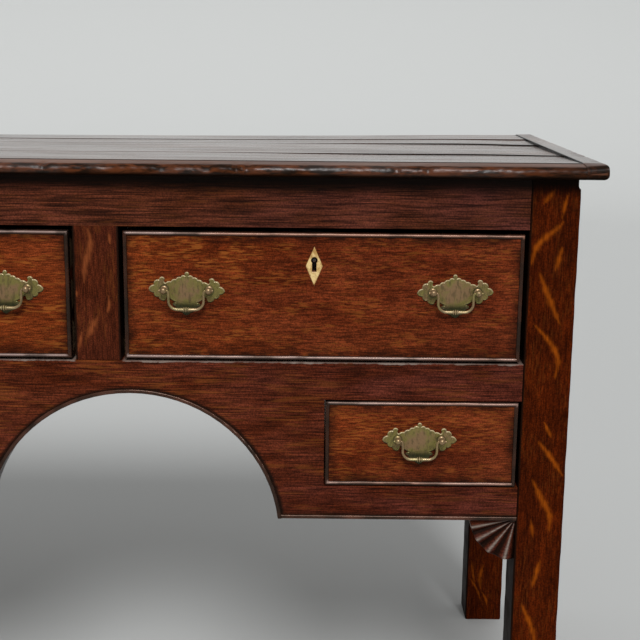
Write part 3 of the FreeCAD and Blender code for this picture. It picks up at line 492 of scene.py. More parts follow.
def on_thumb(ahead):
    """Straight fall from 1 at the front edge to 0 at the thumb's back."""
    return clipped(1 - ahead / THUMB_WIDTH)


def nose_outline(front, back, top_round, thumb, fall, step, back_round):
    """Section of a nosed board: a round below, a round above, a thumb that rises by the fall to a small step
    before the flat, and an eased back edge."""
    low = TOP_OVER - fall
    return np.concatenate((
        [(back, TOP_UNDER)],
        arc((front + NOSE_BOTTOM_ROUND, TOP_UNDER + NOSE_BOTTOM_ROUND), NOSE_BOTTOM_ROUND, 270, 180, 8),
        arc((front + top_round, low - top_round), top_round, 180, 95, 10),
        [(front + 0.7 * thumb, TOP_OVER - 0.45 * fall), (front + thumb - 0.5 * MM, TOP_OVER - step)],
        [(front + thumb, TOP_OVER)],
        arc((back - back_round, TOP_OVER - back_round), back_round, 90, 0, 5),
    ))


def nose_wear(points, along, front_distance, seed, notches=()):
    """How far the nose is worn away, from uneven waves, a few chips and the given notches along it, most on
    its upper round."""
    height = (points[..., 2] - (TOP_OVER - THUMB_FALL)) / NOSE_TOP_ROUND
    nearness = bell(np.clip(front_distance, 0, None), 1.3 * NOSE_TOP_ROUND) * bell(height, 1.7)
    waves = np.clip(0.5 + wander(along, seed, NOSE_WAVES), 0, None)
    chips = dents(along + 0.4 * points[..., 2], seed + 1, NOSE_CHIPS, along.min(), along.max(), CHIP_WIDTH)
    for place in notches:
        chips = np.maximum(chips, bell(along - place, NOTCH_WIDTH))
    return nearness * CHIP_DEPTH * clipped(0.32 * waves + chips)


def carried_along_x(outline):
    """Outline in Y and Z, set at places along the front boards that lie closer together at the ends."""
    ends = np.array((0, 0.6, 1.3, 2.2, 3.4)) * MM
    inner = np.arange(-CLEAT_INNER_X + 5 * MM, CLEAT_INNER_X - 4 * MM, BOARD_STEP)
    x = np.concatenate((ends - CLEAT_INNER_X, inner, CLEAT_INNER_X - ends[::-1]))
    return as_points(x[:, None], outline[:, 0], outline[:, 1])


def top_board(node):
    """Section carried along X with its upper face settled. The front board's section is nosed and its nose is
    worn; the others have eased upper edges. Also gives how near the nose and how dirty each point is."""
    low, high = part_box(node)
    nosed = node == TOP_BOARDS[0]
    if nosed:
        outline = nose_outline(low.y, high.y, NOSE_TOP_ROUND, THUMB_WIDTH, THUMB_FALL, THUMB_STEP,
                               BOARD_EDGE_ROUND)
    else:
        edge_z = TOP_OVER - BOARD_EDGE_ROUND
        outline = np.concatenate((
            [(low.y, TOP_UNDER)],
            arc((low.y + BOARD_EDGE_ROUND, edge_z), BOARD_EDGE_ROUND, 180, 90, 5),
            arc((high.y - BOARD_EDGE_ROUND, edge_z), BOARD_EDGE_ROUND, 90, 0, 5),
            [(high.y, TOP_UNDER)],
        ))
    points = carried_along_x(filled_in(outline, BOARD_SPACING))
    fall, dirt = board_fall(node, points)
    nose = np.zeros(dirt.shape)
    if nosed:
        ahead = points[..., 1] - low.y
        nose = on_thumb(ahead)
        dirt = np.maximum(dirt, 0.6 * bell(ahead - THUMB_WIDTH, 0.8 * MM))
        worn = nose_wear(points, points[..., 0], ahead, NOSE_SEED, NOSE_NOTCHES)
        points[..., 1] += worn
        points[..., 2] -= WEAR_DROP * worn
    return carried(settled(points, fall)), {"nose": nose, "dirt": dirt}


def top_cleat(side, seed):
    """Nosed section carried along Y at an end of the top; towards the front the section is clipped to the
    nose's rounds, so the nosing turns the corner. Also gives how near the nose and how dirty each point
    is."""
    outline = nose_outline(-TOP_END_X, -CLEAT_INNER_X, CLEAT_ROUND, 2 * CLEAT_ROUND, 0.0, 0.0,
                           CLEAT_INNER_ROUND)
    outline = filled_in(outline, CLEAT_SPACING)
    depth = TOP_BACK_Y - TOP_FRONT_Y
    y = TOP_FRONT_Y + depth * np.concatenate((np.linspace(0, 0.012, 12), np.linspace(0.016, 1, 200)))
    grid_x, grid_y, grid_z = np.moveaxis(as_points(outline[:, 0], y[:, None], outline[:, 1]), -1, 0)
    ahead = grid_y - TOP_FRONT_Y
    front_nose = on_thumb(ahead)
    inwards = clipped((grid_x + TOP_END_X) / (TOP_END_X - CLEAT_INNER_X))
    thumb = TOP_OVER - THUMB_FALL * front_nose * inwards
    above = np.clip(NOSE_TOP_ROUND - ahead, 0, None)
    below = np.clip(NOSE_BOTTOM_ROUND - ahead, 0, None)
    ceiling = thumb - NOSE_TOP_ROUND + np.sqrt(NOSE_TOP_ROUND ** 2 - above ** 2)
    base = TOP_UNDER + NOSE_BOTTOM_ROUND - np.sqrt(NOSE_BOTTOM_ROUND ** 2 - below ** 2)
    points = as_points(grid_x, grid_y, np.clip(grid_z, base, ceiling))
    dirt = past_thumb(ahead) * bell(-CLEAT_INNER_X - grid_x, CLEAT_INNER_ROUND)
    worn = 0.5 * nose_wear(points, grid_y, grid_x + TOP_END_X, seed)
    end_nose = clipped(1 - (grid_x + TOP_END_X) / CLEAT_NOSE_REACH)
    points[..., 0] += worn
    points[..., 2] -= WEAR_DROP * worn
    points = settled(points)
    points[..., 0] *= -side
    return carried(points), {"nose": np.maximum(end_nose, front_nose), "dirt": dirt}


def upright(node, low_z, high_z, edge_round, wear, rays, seed, chip=None):
    """Rounded square section carried up Z; its corners draw in unevenly where they are worn, and the foot is
    eased where it meets the floor. A chip takes away the outer front corner above a height, and the back
    boards lie in a rebate. Also gives how strongly a ray of the quarter-cut oak shows on the front, and the
    dirt along the edges next to a rail."""
    low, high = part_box(node)
    boards_low, boards_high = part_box("back_boards")
    outline = filled_in(rounded_rectangle(low.xy, high.xy, edge_round, 6), UPRIGHT_SPACING)
    foot_z = low_z + np.array((0, 0.6 * MM, FOOT_EASE))
    z = np.concatenate((foot_z, np.arange(low_z + 3 * MM, high_z, UPRIGHT_STEP), [high_z]))
    middle = np.array(((low.x + high.x) / 2, (low.y + high.y) / 2))
    half = np.array((high.x - low.x, high.y - low.y)) / 2
    across = (outline - middle) / half
    cornerness = (np.abs(across[:, 0]) * np.abs(across[:, 1])) ** CORNER_SHARPNESS
    corner = np.sign(across[:, 0]) + 2 * np.sign(across[:, 1])
    lines = np.stack([wander(z + 0.37 * number, seed + number, CORNER_WAVES) for number in range(4)])
    chosen = lines[((corner + 3) // 2).astype(int)].T
    foot = clipped(1 - (z - low_z) / FOOT_EASE)[:, None]
    drawn_in = wear * cornerness * np.clip(0.5 + chosen, 0, None) + FOOT_DRAWN_IN * foot
    direction = across / np.linalg.norm(across, axis=1)[:, None]
    flat = outline[None] - direction[None] * drawn_in[..., None]
    points = as_points(flat[..., 0], flat[..., 1], z[:, None])
    shown = ray_strength((flat[..., 0] - low.x) / MM, points[..., 2] / MM, rays)
    shown *= clipped(1 - (flat[..., 1] - low.y) / RAY_FADE)
    if chip:
        start, depth, reach = chip
        broken = clipped((points[..., 2] - start) / (2.5 * MM)) * (flat[..., 0] > high.x - 4 * MM)
        points[..., 0] -= depth * broken * np.exp(-((flat[..., 1] - low.y) / reach) ** 4)
    covered = (np.abs(flat[..., 0]) < boards_high.x + 1.0 * MM) & (points[..., 2] > boards_low.z)
    points[..., 1] = np.where(covered, np.minimum(points[..., 1], boards_low.y), points[..., 1])
    edge = np.abs(flat[..., 0] - (low.x if low.x > 0 else high.x))
    if abs(low.x + high.x) < TOP_END_X:
        edge = np.minimum(flat[..., 0] - low.x, high.x - flat[..., 0])
    return carried(points), {"ray_and_gleam": shown, "dirt": bell(edge, SEAM_WIDTH)}


def ray_strength(across, height, rays):
    """Strongest of the rays at each place. A ray runs along a line through its points with the corners
    smoothed; it is 1 on the line and falls off to its width on either side, thinner and paler to its ends.
    All lengths are in millimetres."""
    strength = np.zeros(across.shape)
    window = np.full(2 * RAY_SMOOTHED + 1, 1 / (2 * RAY_SMOOTHED + 1))
    taper = np.sin(math.pi * np.linspace(0.06, 0.94, RAY_STOPS)) ** 0.7
    for width, line in rays:
        corners = np.array(line)
        reach = lengths_along(corners)
        stops = np.linspace(0, reach[-1], RAY_STOPS)
        margin = ((RAY_SMOOTHED, RAY_SMOOTHED), (0, 0))
        padded = np.pad(points_at(stops, reach, corners), margin, mode="reflect", reflect_type="odd")
        spine = np.column_stack([np.convolve(column, window, "valid") for column in padded.T])
        uneven = 1 + 0.25 * wander(stops, int(10 * width), RAY_WAVES)
        near = (np.abs(height - spine[:, 1].mean()) < 0.5 * np.ptp(spine[:, 1]) + 12).nonzero()
        gap = np.hypot(across[near][:, None] - spine[:, 0], height[near][:, None] - spine[:, 1])
        ray_and_gleam = (taper ** 0.5 * np.exp(-(gap / (0.55 * width * taper * uneven)) ** 2.5)).max(axis=1)
        strength[near] = np.maximum(strength[near], ray_and_gleam)
    return strength


def scattered_rays(width, low_z, high_z, count, seed):
    """Rays at seeded places for an upright that the photograph leaves open; they lean and bend either way."""
    rng = np.random.default_rng(seed)
    rays = []
    for _ in range(count):
        x, z = rng.uniform(0.1, 0.6) * width, rng.uniform(low_z, high_z - 40)
        lean, bend = rng.uniform(-0.5, 0.5), rng.uniform(-5, 5)
        length = rng.uniform(18, 62)
        line = ((x, z), (x + 0.5 * lean * length + bend, z + 0.5 * length), (x + lean * length, z + length))
        rays.append((rng.uniform(2.0, 5.0), line))
    return rays


def bead_frame(node, seed):
    """Half-round section carried round a rectangle with mitred corners: each section point keeps its own
    distance in from the outer edge, and the bead's crown is worn unevenly. Also gives where a highlight is
    painted: a bell curve across the level runs, a little above their crown."""
    low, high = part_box(node)
    turn = np.linspace(0, math.pi, 11)
    nose = COCK_BEAD_WIDTH / 2
    face = low.y + nose
    inset = np.concatenate(([0], nose - nose * np.cos(turn), [COCK_BEAD_WIDTH]))
    y = np.concatenate(([high.y], face - nose * np.sin(turn), [high.y]))
    runs, worn_and_highlit = [], []
    corners = ((low.x, low.z, 1, 1), (high.x, low.z, -1, 1), (high.x, high.z, -1, -1), (low.x, high.z, 1, -1))
    for start, stop in zip(corners, corners[1:] + corners[:1]):
        length = abs(stop[0] - start[0]) + abs(stop[1] - start[1])
        share = np.linspace(0, 1, int(length / BEAD_STEP), endpoint=False)[:, None]
        x = (1 - share) * (start[0] + start[2] * inset) + share * (stop[0] + stop[2] * inset)
        z = (1 - share) * (start[1] + start[3] * inset) + share * (stop[1] + stop[3] * inset)
        runs.append(as_points(x, y, z))
        # painted highlight on the upper side of each level run
        up = start[3] if start[1] == stop[1] else 0
        gleam = bell(up * (inset - nose) / nose - BEAD_GLEAM_PLACE, BEAD_GLEAM_WIDTH)
        worn_and_highlit.append(np.broadcast_to(abs(up) * gleam, x.shape))
    points = np.concatenate(runs)
    along = np.arange(len(points)) * BEAD_STEP
    wear = BEAD_WEAR * np.clip(wander(along, seed, BEAD_WAVES), 0, None)
    wear += 2 * BEAD_WEAR * dents(along, seed + 1, BEAD_DENTS, 0, along[-1], BEAD_DENT_WIDTH)
    crown = clipped((face - points[..., 1]) / nose)
    points[..., 1] += wear[:, None] * crown
    return carried_round(points), {"worn_and_highlit": np.concatenate(worn_and_highlit)}


def face_edges(faces):
    """Edges of each face in turn, as pairs of point numbers."""
    return np.stack((faces, np.roll(faces, -1, axis=1)), axis=-1).reshape(-1, 2)


def relief(inside, height, low, high, step):
    """Thin plate in the front plane. inside gives each grid point's distance within the outline; points
    within half a step of the outline are drawn onto it, cells with four corners in stay quads and those
    with three become triangles. height lifts the front, the back is flat, and a wall joins the borders."""
    x, z = np.meshgrid(np.arange(low[0] - step, high[0] + 2 * step, step),
                       np.arange(low[1] - step, high[1] + 2 * step, step), indexing="ij")
    distance = inside(x, z)
    slope_x, slope_z = np.gradient(distance, step)
    steepness = np.hypot(slope_x, slope_z) + 1e-9
    pull = np.where(np.abs(distance) <= step / 2, distance / steepness, 0)
    x, z = x - pull * slope_x / steepness, z - pull * slope_z / steepness
    kept = distance >= -step / 2
    depth = np.clip(np.where(pull == 0, distance, 0), 0, None)
    numbers = np.arange(x.size).reshape(x.shape)
    cells = grid_quads(numbers)
    corners_in = kept.ravel()[cells]
    quads = cells[corners_in.sum(axis=1) == 4]
    cut = corners_in.sum(axis=1) == 3
    triangles = cells[cut][corners_in[cut]].reshape(-1, 3)
    edges = np.concatenate((face_edges(quads), face_edges(triangles)))
    _, place, count = np.unique(np.sort(edges, axis=1), axis=0, return_index=True, return_counts=True)
    border = edges[place[count == 1]]
    used = np.unique(np.concatenate((quads.ravel(), triangles.ravel())))
    renumber = np.zeros(x.size, int)
    renumber[used] = np.arange(len(used))
    quads, triangles, border = renumber[quads], renumber[triangles], renumber[border]
    total = len(used)
    x, z, depth = x.ravel()[used], z.ravel()[used], depth.ravel()[used]
    front = np.column_stack((x, -height(x, z, depth), z))
    back = np.column_stack((x, np.zeros(total), z))
    wall = np.column_stack((border[:, 1], border[:, 0], border[:, 0] + total, border[:, 1] + total))
    groups = [quads, triangles, quads[:, ::-1] + total, triangles[:, ::-1] + total, wall]
    return (np.concatenate((front, back)), groups), np.concatenate((depth, depth))


def fan_bracket(side, node):
    """Quarter disc in the corner of apron and leg; its front folds in straight facets between ridges and
    grooves that spread from the corner, deeper towards the rim. Also gives dirt with painted shade in the
    grooves, and a painted highlight along the ridges."""
    low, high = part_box(node)
    radius = high.z - low.z
    corner_x = high.x if side > 0 else low.x
    thick = high.y - low.y

    def inside(x, z):
        return np.minimum(np.minimum(radius - np.hypot(x, z), -x * side), -z)

    def angle(x, z):
        return np.degrees(np.arctan2(-z, np.abs(x) + 1e-9))

    def fold(x, z):
        return np.interp(angle(x, z), FAN_ANGLES, FAN_DEPTHS)

    def height(x, z, depth):
        out = clipped(np.hypot(x, z) / radius)
        rim = FAN_RIM * clipped(1 - depth / FAN_RIM) ** 2 * (out > 0.9)
        return thick - FAN_RELIEF * fold(x, z) * out - rim

    span = (-radius, 0) if side > 0 else (0, radius)
    (points, groups), _ = relief(inside, height, (span[0], -radius), (span[1], 0), FAN_STEP)
    x, z = points[:, 0], points[:, 2]
    # painted highlight along each ridge; the fold depth marks dirt with painted shade in the grooves
    off_ridge = np.abs(angle(x, z)[:, None] - FAN_ANGLES[1::2]).min(axis=1)
    marks = {"dirt": fold(x, z), "ray_and_gleam": bell(off_ridge, FAN_RIDGE_WIDTH)}
    return (points + (corner_x, high.y, high.z), groups), marks


# Shapes of the brass and bone


def plate_outline():
    """Outline of a handle plate in millimetres: its right half's arcs, and the same mirrored."""
    starts = (PLATE_TOP,) + tuple(end for _, end in PLATE_ARCS[:-1])
    arcs = [arc_through(start, middle, end, 8) for start, (middle, end) in zip(starts, PLATE_ARCS)]
    right = np.concatenate(arcs)
    bottom = np.array([PLATE_ARCS[-1][1]])
    left = right[:0:-1] * (-1, 1)
    return np.concatenate((right, bottom, left))


def distance_inside(outline):
    """Function that gives points' distance within a closed outline, negative outside: the least distance to
    its segments, with the sign from counting how often a ray crosses them."""
    ax, az = outline.T
    bx, bz = np.roll(outline, -1, axis=0).T
    length = (bx - ax) ** 2 + (bz - az) ** 2

    def inside(x, z):
        flat_x, flat_z = x.reshape(-1, 1), z.reshape(-1, 1)
        share = clipped(((flat_x - ax) * (bx - ax) + (flat_z - az) * (bz - az)) / length)
        nearest = np.hypot(flat_x - ax - share * (bx - ax), flat_z - az - share * (bz - az)).min(axis=1)
        rise = np.where(bz == az, 1e-12, bz - az)
        crossing = ((az > flat_z) != (bz > flat_z)) & (flat_x < ax + (flat_z - az) * (bx - ax) / rise)
        odd = crossing.sum(axis=1) % 2 == 1
        return np.where(odd, nearest, -nearest).reshape(x.shape)

    return inside


def shield(x, z):
    """Where points lie on a plate's round shield: 0 at its middle, 1 at its edge."""
    return np.hypot(x / SHIELD_HALF_WIDTH, (z - SHIELD_MIDDLE_Z) / SHIELD_HALF_HEIGHT)


def handle_plate():
    """Cast plate with a filed edge, a raised rim that follows the outline, and a low round shield with a line
    cut round it. Also gives a painted highlight along its upper-facing edges, how brown the patina is, and a
    painted shade that makes it black along its lower edges, round the posts together with dirt, and below the
    bail."""
    outline = plate_outline()

    def height(x, z, depth):
        bevel = 0.5 + 0.55 * clipped(depth / 0.6) ** 0.6
        rim = 0.35 * bell(depth - 0.9, 0.5)
        dome = 0.55 * clipped(1 - shield(x, z) ** 2)
        line = 0.12 * bell(shield(x, z) - 1.04, 0.035) * (depth > 1.5)
        wing = 0.5 * bell(np.abs(x) - 33.0, 6.0) * bell(z - 0.5, 6.0)
        return bevel + rim + dome + wing - line

    inside = distance_inside(outline)
    shape, depth = relief(inside, height, outline.min(axis=0), outline.max(axis=0), PLATE_STEP)
    x, z = shape[0][:, 0], shape[0][:, 2]
    facing_up = (inside(x, z - 0.3) - inside(x, z + 0.3)) / 0.6
    upper = clipped(facing_up + 0.1)
    lower = clipped(-facing_up - 0.1)
    # painted highlight: bright only along upper-facing edges, and none on the lower part
    worn_and_highlit = bell(depth - 0.4, 0.7) * upper * clipped((z + 12.0) / 6.0)
    ring = np.hypot(np.abs(x) - POST_HALF_SPACING / MM, z + 1.0)
    # painted shade: black along lower-facing edges, in a ring round each post with some dirt, and below the
    # bail
    black = np.maximum(lower * bell(depth - 0.4, 1.1), 0.7 * bell(ring - 5.2, 1.3))
    black = np.maximum(black, clipped((-13.0 - z) / 8.0))
    return shape, {"worn_and_highlit": worn_and_highlit, "brown": clipped(1.25 - shield(x, z)), "black": black}


def lathe(profile, sides, centre):
    """Radii along an axis, spun round it; the axis runs along Y through the centre."""
    turn = full_turn(sides)
    along, radius = np.array(profile).T
    points = as_points(radius[:, None] * np.cos(turn), along[:, None], radius[:, None] * np.sin(turn))
    return carried(points * MM + np.array(centre))


def post_profile():
    """Flange, hollow neck, a small ring and a ball with a slightly pointed tip, in millimetres forwards of
    the plate as (y, radius)."""
    flange = [(0.2, 4.5), (-0.7, 4.5), (-1.3, 4.0), (-1.7, 2.7)]
    neck = [(-3.2, 2.1), (-4.6, 2.1), (-5.2, 2.9), (-5.9, 2.9)]
    ball = arc((-POST_BALL_OUT, 0.0), POST_BALL_RADIUS, 50, 176, 18)
    return flange + neck + ball.tolist()


def bail_path():
    """Route of a bail in the front plane, in millimetres: in from a nib, round an elbow, down an arm, along
    the grip, and the same mirrored. Points are even along it."""
    elbow = arc((-BAIL_ARM - BAIL_ELBOW, -BAIL_ELBOW), BAIL_ELBOW, 90, 0, 10)
    corner = arc((BAIL_CORNER - BAIL_ARM, BAIL_CORNER - BAIL_DROP), BAIL_CORNER, 180, 270, 16)
    half = np.concatenate(([(-BAIL_REACH, 0)], elbow, corner, [(0, -BAIL_DROP)]))
    route = np.concatenate((half, half[-2::-1] * (-1, 1)))
    reach = lengths_along(route)
    stops = np.linspace(0, reach[-1], int(reach[-1] / BAIL_STEP))
    return points_at(stops, reach, route), stops


def bail(pivot):
    """Round section carried along the bail's route, square to it. The radius swells from the pin to the
    elbow and towards the grip, and stands up in three rings at the middle. Also gives how rubbed it is."""
    route, stops = bail_path()
    ahead = np.gradient(route, axis=0)
    ahead /= np.linalg.norm(ahead, axis=1)[:, None]
    across = np.column_stack((-ahead[:, 1], ahead[:, 0]))
    end = np.minimum(stops, stops[-1] - stops)
    middle = np.abs(stops - stops[-1] / 2)
    radius = np.interp(end, BAIL_STOPS, BAIL_RADII)
    rings = np.zeros(len(stops))
    for place, size, width in BAIL_RINGS:
        ring = np.sqrt(clipped(1 - ((middle - place) / width) ** 2))
        rings = np.maximum(rings, ring)
        radius = np.maximum(radius, BAIL_RING_FOOT + (size - BAIL_RING_FOOT) * ring * (ring > 0))
    radius = np.where((middle < BAIL_RINGED) & (rings == 0), BAIL_BETWEEN_RINGS, radius)
    grip = np.interp(middle, (BAIL_RINGED, 14, 22), (0.7, 0.6, 0.25))
    worn_and_highlit = np.where(middle < BAIL_RINGED, rings, grip)
    turn = full_turn(BAIL_SIDES)
    flat = route[:, None] + across[:, None] * (radius[:, None] * np.cos(turn))[..., None]
    points = as_points(flat[..., 0], radius[:, None] * np.sin(turn), flat[..., 1])
    return carried(points * MM + pivot), np.repeat(worn_and_highlit, BAIL_SIDES)


def nut(x, z, face_y):
    """Square nut with eased edges, and the end of the post's shank standing out of it."""
    half = NUT_WIDTH / 2
    ease = np.array((0.6, 0.15, 0, 0, 0.15, 0.6)) * MM
    y = face_y + np.array((0, 0.15, 0.6, 3.4, 3.85, 4.0)) * MM
    outline = rounded_rectangle((-half, -half), (half, half), 1.0 * MM, 4)
    flat = outline[None] * (1 - ease / half)[:, None, None]
    points = as_points(flat[..., 0] + x, y[:, None], flat[..., 1] + z)
    past = (NUT_THICK + SHANK_PAST_NUT) / MM
    radius = SHANK_RADIUS / MM
    shank = [(0.5, radius), (past - 0.5, radius), (past, radius - 0.5)]
    return [carried(points), lathe(shank, SHANK_SIDES, (x, face_y, z))]


def bone_diamond():
    """Diamond with filed edges round a keyhole that is a circle over a slot, in millimetres."""
    slant = math.hypot(DIAMOND_HALF_HEIGHT, DIAMOND_HALF_WIDTH)

    def inside(x, z):
        edge = (DIAMOND_HALF_HEIGHT * DIAMOND_HALF_WIDTH - np.abs(x) * DIAMOND_HALF_HEIGHT
                - np.abs(z) * DIAMOND_HALF_WIDTH) / slant
        head = np.hypot(x, z - KEYHOLE_RISE) - KEYHOLE_RADIUS
        slot_low = KEYHOLE_RISE - KEYHOLE_SLOT_DROP
        slot = np.maximum(np.abs(x) - KEYHOLE_SLOT_HALF, np.maximum(slot_low - z, z - KEYHOLE_RISE))
        return np.minimum(edge, np.minimum(head, slot))

    def height(x, z, depth):
        return 0.9 + 0.55 * clipped(depth / 0.9) ** 0.5

    return relief(inside, height, (-DIAMOND_HALF_WIDTH, -DIAMOND_HALF_HEIGHT),
                  (DIAMOND_HALF_WIDTH, DIAMOND_HALF_HEIGHT), DIAMOND_STEP)[0]


# Finishes


class Finish:
    """One procedural material, built a node at a time; most methods give the new node's output. along is the
    axis of the grain, shift moves the patterns, and body is the colour so far."""

    def __init__(self, name, along=0, shift=(0, 0, 0)):
        self.material = bpy.data.materials.new(name)
        self.material.use_nodes = True
        self.nodes = self.material.node_tree.nodes
        self.links = self.material.node_tree.links
        self.place = self.node("TexCoord", output="Object")
        self.along = along
        self.shift = shift
        self.body = None

    def feed(self, socket, value):
        """Links an output to a socket, or sets the socket to a plain value."""
        if isinstance(value, bpy.types.NodeSocket):
            self.links.new(value, socket)
        else:
            socket.default_value = value

    def node(self, kind, inputs=(), output=0, **settings):
        """New node with its settings made and its inputs fed."""
        node = self.nodes.new("ShaderNode" + kind)
        for setting, value in settings.items():
            setattr(node, setting, value)
        for socket, value in dict(inputs).items():
            self.feed(node.inputs[socket], value)
        return node.outputs[output]

    def finished(self, **values):
        """Feeds the body and the shader's other sockets, named with underscores for spaces."""
        shader = self.nodes["Principled BSDF"]
        for name, value in dict(values, Base_Color=self.body).items():
            self.feed(shader.inputs[name.replace("_", " ")], value)
        return self.material

    def mapped(self, scale, shift):
        """Object coordinates, scaled and then shifted."""
        return self.node("Mapping", {"Vector": self.place, "Location": shift, "Scale": scale})

    def noise(self, scale, detail=2.0, roughness=0.5, distortion=0.0, shift=None):
        """Cloudy noise from about 0.2 to 0.8, scaled along each axis and then shifted."""
        vector = self.mapped(scale, self.shift if shift is None else shift)
        return self.node("TexNoise", {"Vector": vector, "Scale": 1.0, "Detail": detail,
                                      "Roughness": roughness, "Distortion": distortion})

    def grain(self, lengthwise, across, **look):
        """Noise stretched along the grain."""
        scale = tuple(lengthwise if axis == self.along else across for axis in range(3))
        return self.noise(scale, **look)

    def math(self, operation, first, *others):
        """One operation, carried through a row of numbers."""
        for number in others or (0.0,):
            first = self.node("Math", {0: first, 1: number}, operation=operation)
        return first

    def times(self, *numbers):
        """Product of numbers."""
        return self.math("MULTIPLY", *numbers)

    def plus(self, *numbers):
        """Sum of numbers."""
        return self.math("ADD", *numbers)

    def between(self, value, low, high, out_low=0.0, out_high=1.0):
        """Smooth step from one level to another as the value goes from low to high."""
        levels = enumerate((value, low, high, out_low, out_high))
        return self.node("MapRange", levels, interpolation_type="SMOOTHSTEP")

    def mix(self, share, first, second, blend="MIX"):
        """Two colours mixed or blended."""
        return self.node("Mix", {0: share, 6: first, 7: second}, 2, data_type="RGBA", blend_type=blend)

    def paint(self, share, tone):
        """Lays a colour over the body."""
        self.body = self.mix(share, self.body, tone)

    def tint(self, tone):
        """Multiplies the body by a colour or a number."""
        self.body = self.mix(1.0, self.body, tone, "MULTIPLY")

    def axis(self, number):
        """One of the object coordinates."""
        return self.node("SeparateXYZ", {0: self.place}, number)

    def distance(self, scale, centre):
        """Distance from a place, with each axis scaled."""
        shift = tuple(-size * number for size, number in zip(scale, centre))
        return self.node("VectorMath", {0: self.mapped(scale, shift)}, "Value", operation="LENGTH")

    def attribute(self, name):
        """A number kept on the mesh's points."""
        return self.node("Attribute", output="Fac", attribute_name=name)

    def bump(self, height, distance):
        """Surface relief from a height between 0 and 1."""
        return self.node("Bump", {"Strength": 1.0, "Distance": distance, "Height": height})


def colour(red, green, blue):
    """Opaque colour from linear parts."""
    return (red, green, blue, 1.0)


FRONT_TONES = (colour(0.078, 0.0118, 0.0030), colour(0.160, 0.0300, 0.0090))
UPRIGHT_TONES = (colour(0.032, 0.0046, 0.0007), colour(0.073, 0.0098, 0.0011))
MUNTIN_TONES = (colour(0.038, 0.0074, 0.0032), colour(0.072, 0.0144, 0.0070))
RAIL_TONES = (colour(0.036, 0.0086, 0.0030), colour(0.080, 0.0202, 0.0140))
APRON_TONES = (colour(0.046, 0.0074, 0.0018), colour(0.089, 0.0190, 0.0112))
TOP_TONES = (colour(0.085, 0.036, 0.021), colour(0.150, 0.072, 0.044))
THUMB_TONES = (colour(0.080, 0.0290, 0.0140), colour(0.160, 0.0640, 0.0310))
NOSE_TONES = (colour(0.014, 0.0062, 0.0030), colour(0.098, 0.0280, 0.0092))
BEAD_HIGHLIGHT_TONES = (colour(0.355, 0.262, 0.235), colour(0.370, 0.185, 0.128))
BACK_TONES = (colour(0.075, 0.040, 0.022), colour(0.20, 0.115, 0.06))
BEARER_TONES = (colour(0.11, 0.06, 0.03), colour(0.26, 0.16, 0.085))
BRASS_TONES = (colour(0.215, 0.178, 0.048), colour(0.262, 0.158, 0.076))
BONE_TONES = (colour(0.45, 0.255, 0.072), colour(0.80, 0.575, 0.25))
IRON_TONES = (colour(0.05, 0.048, 0.046), colour(0.13, 0.06, 0.03))
OAK_GOLD = colour(1.0, 0.99, 0.66)
OAK_PLUM = colour(0.92, 0.96, 1.0)
OAK_FLECK = colour(0.350, 0.104, 0.0180)
OAK_RAY = colour(0.285, 0.060, 0.0030)
OAK_BLACK = colour(0.0060, 0.0036, 0.0022)
MUNTIN_RAY = colour(0.240, 0.062, 0.0180)
FAN_RIDGE_HIGHLIGHT = colour(0.280, 0.235, 0.200)
OAK_WORN_EDGE_GLEAM = colour(0.240, 0.185, 0.155)
COCK_BEAD_TONE = colour(0.032, 0.0100, 0.0050)
APRON_BEAD_TONE = colour(0.085, 0.0310, 0.0190)
BEAD_GLOSS = colour(1.0, 0.68, 0.54)
TOP_STREAK = colour(0.028, 0.012, 0.008)
TOP_DIRT = colour(0.028, 0.0090, 0.0044)
BRASS_STREAK = colour(0.085, 0.062, 0.024)
BRASS_SHADE_AND_DIRT = colour(0.020, 0.024, 0.008)
BRASS_BRIGHT = colour(0.80, 0.66, 0.40)
BONE_PORE = colour(0.24, 0.12, 0.04)


def blended(share, first, second):
    """Colour part of the way from one to another."""
    return tuple((1 - share) * before + share * after for before, after in zip(first, second))


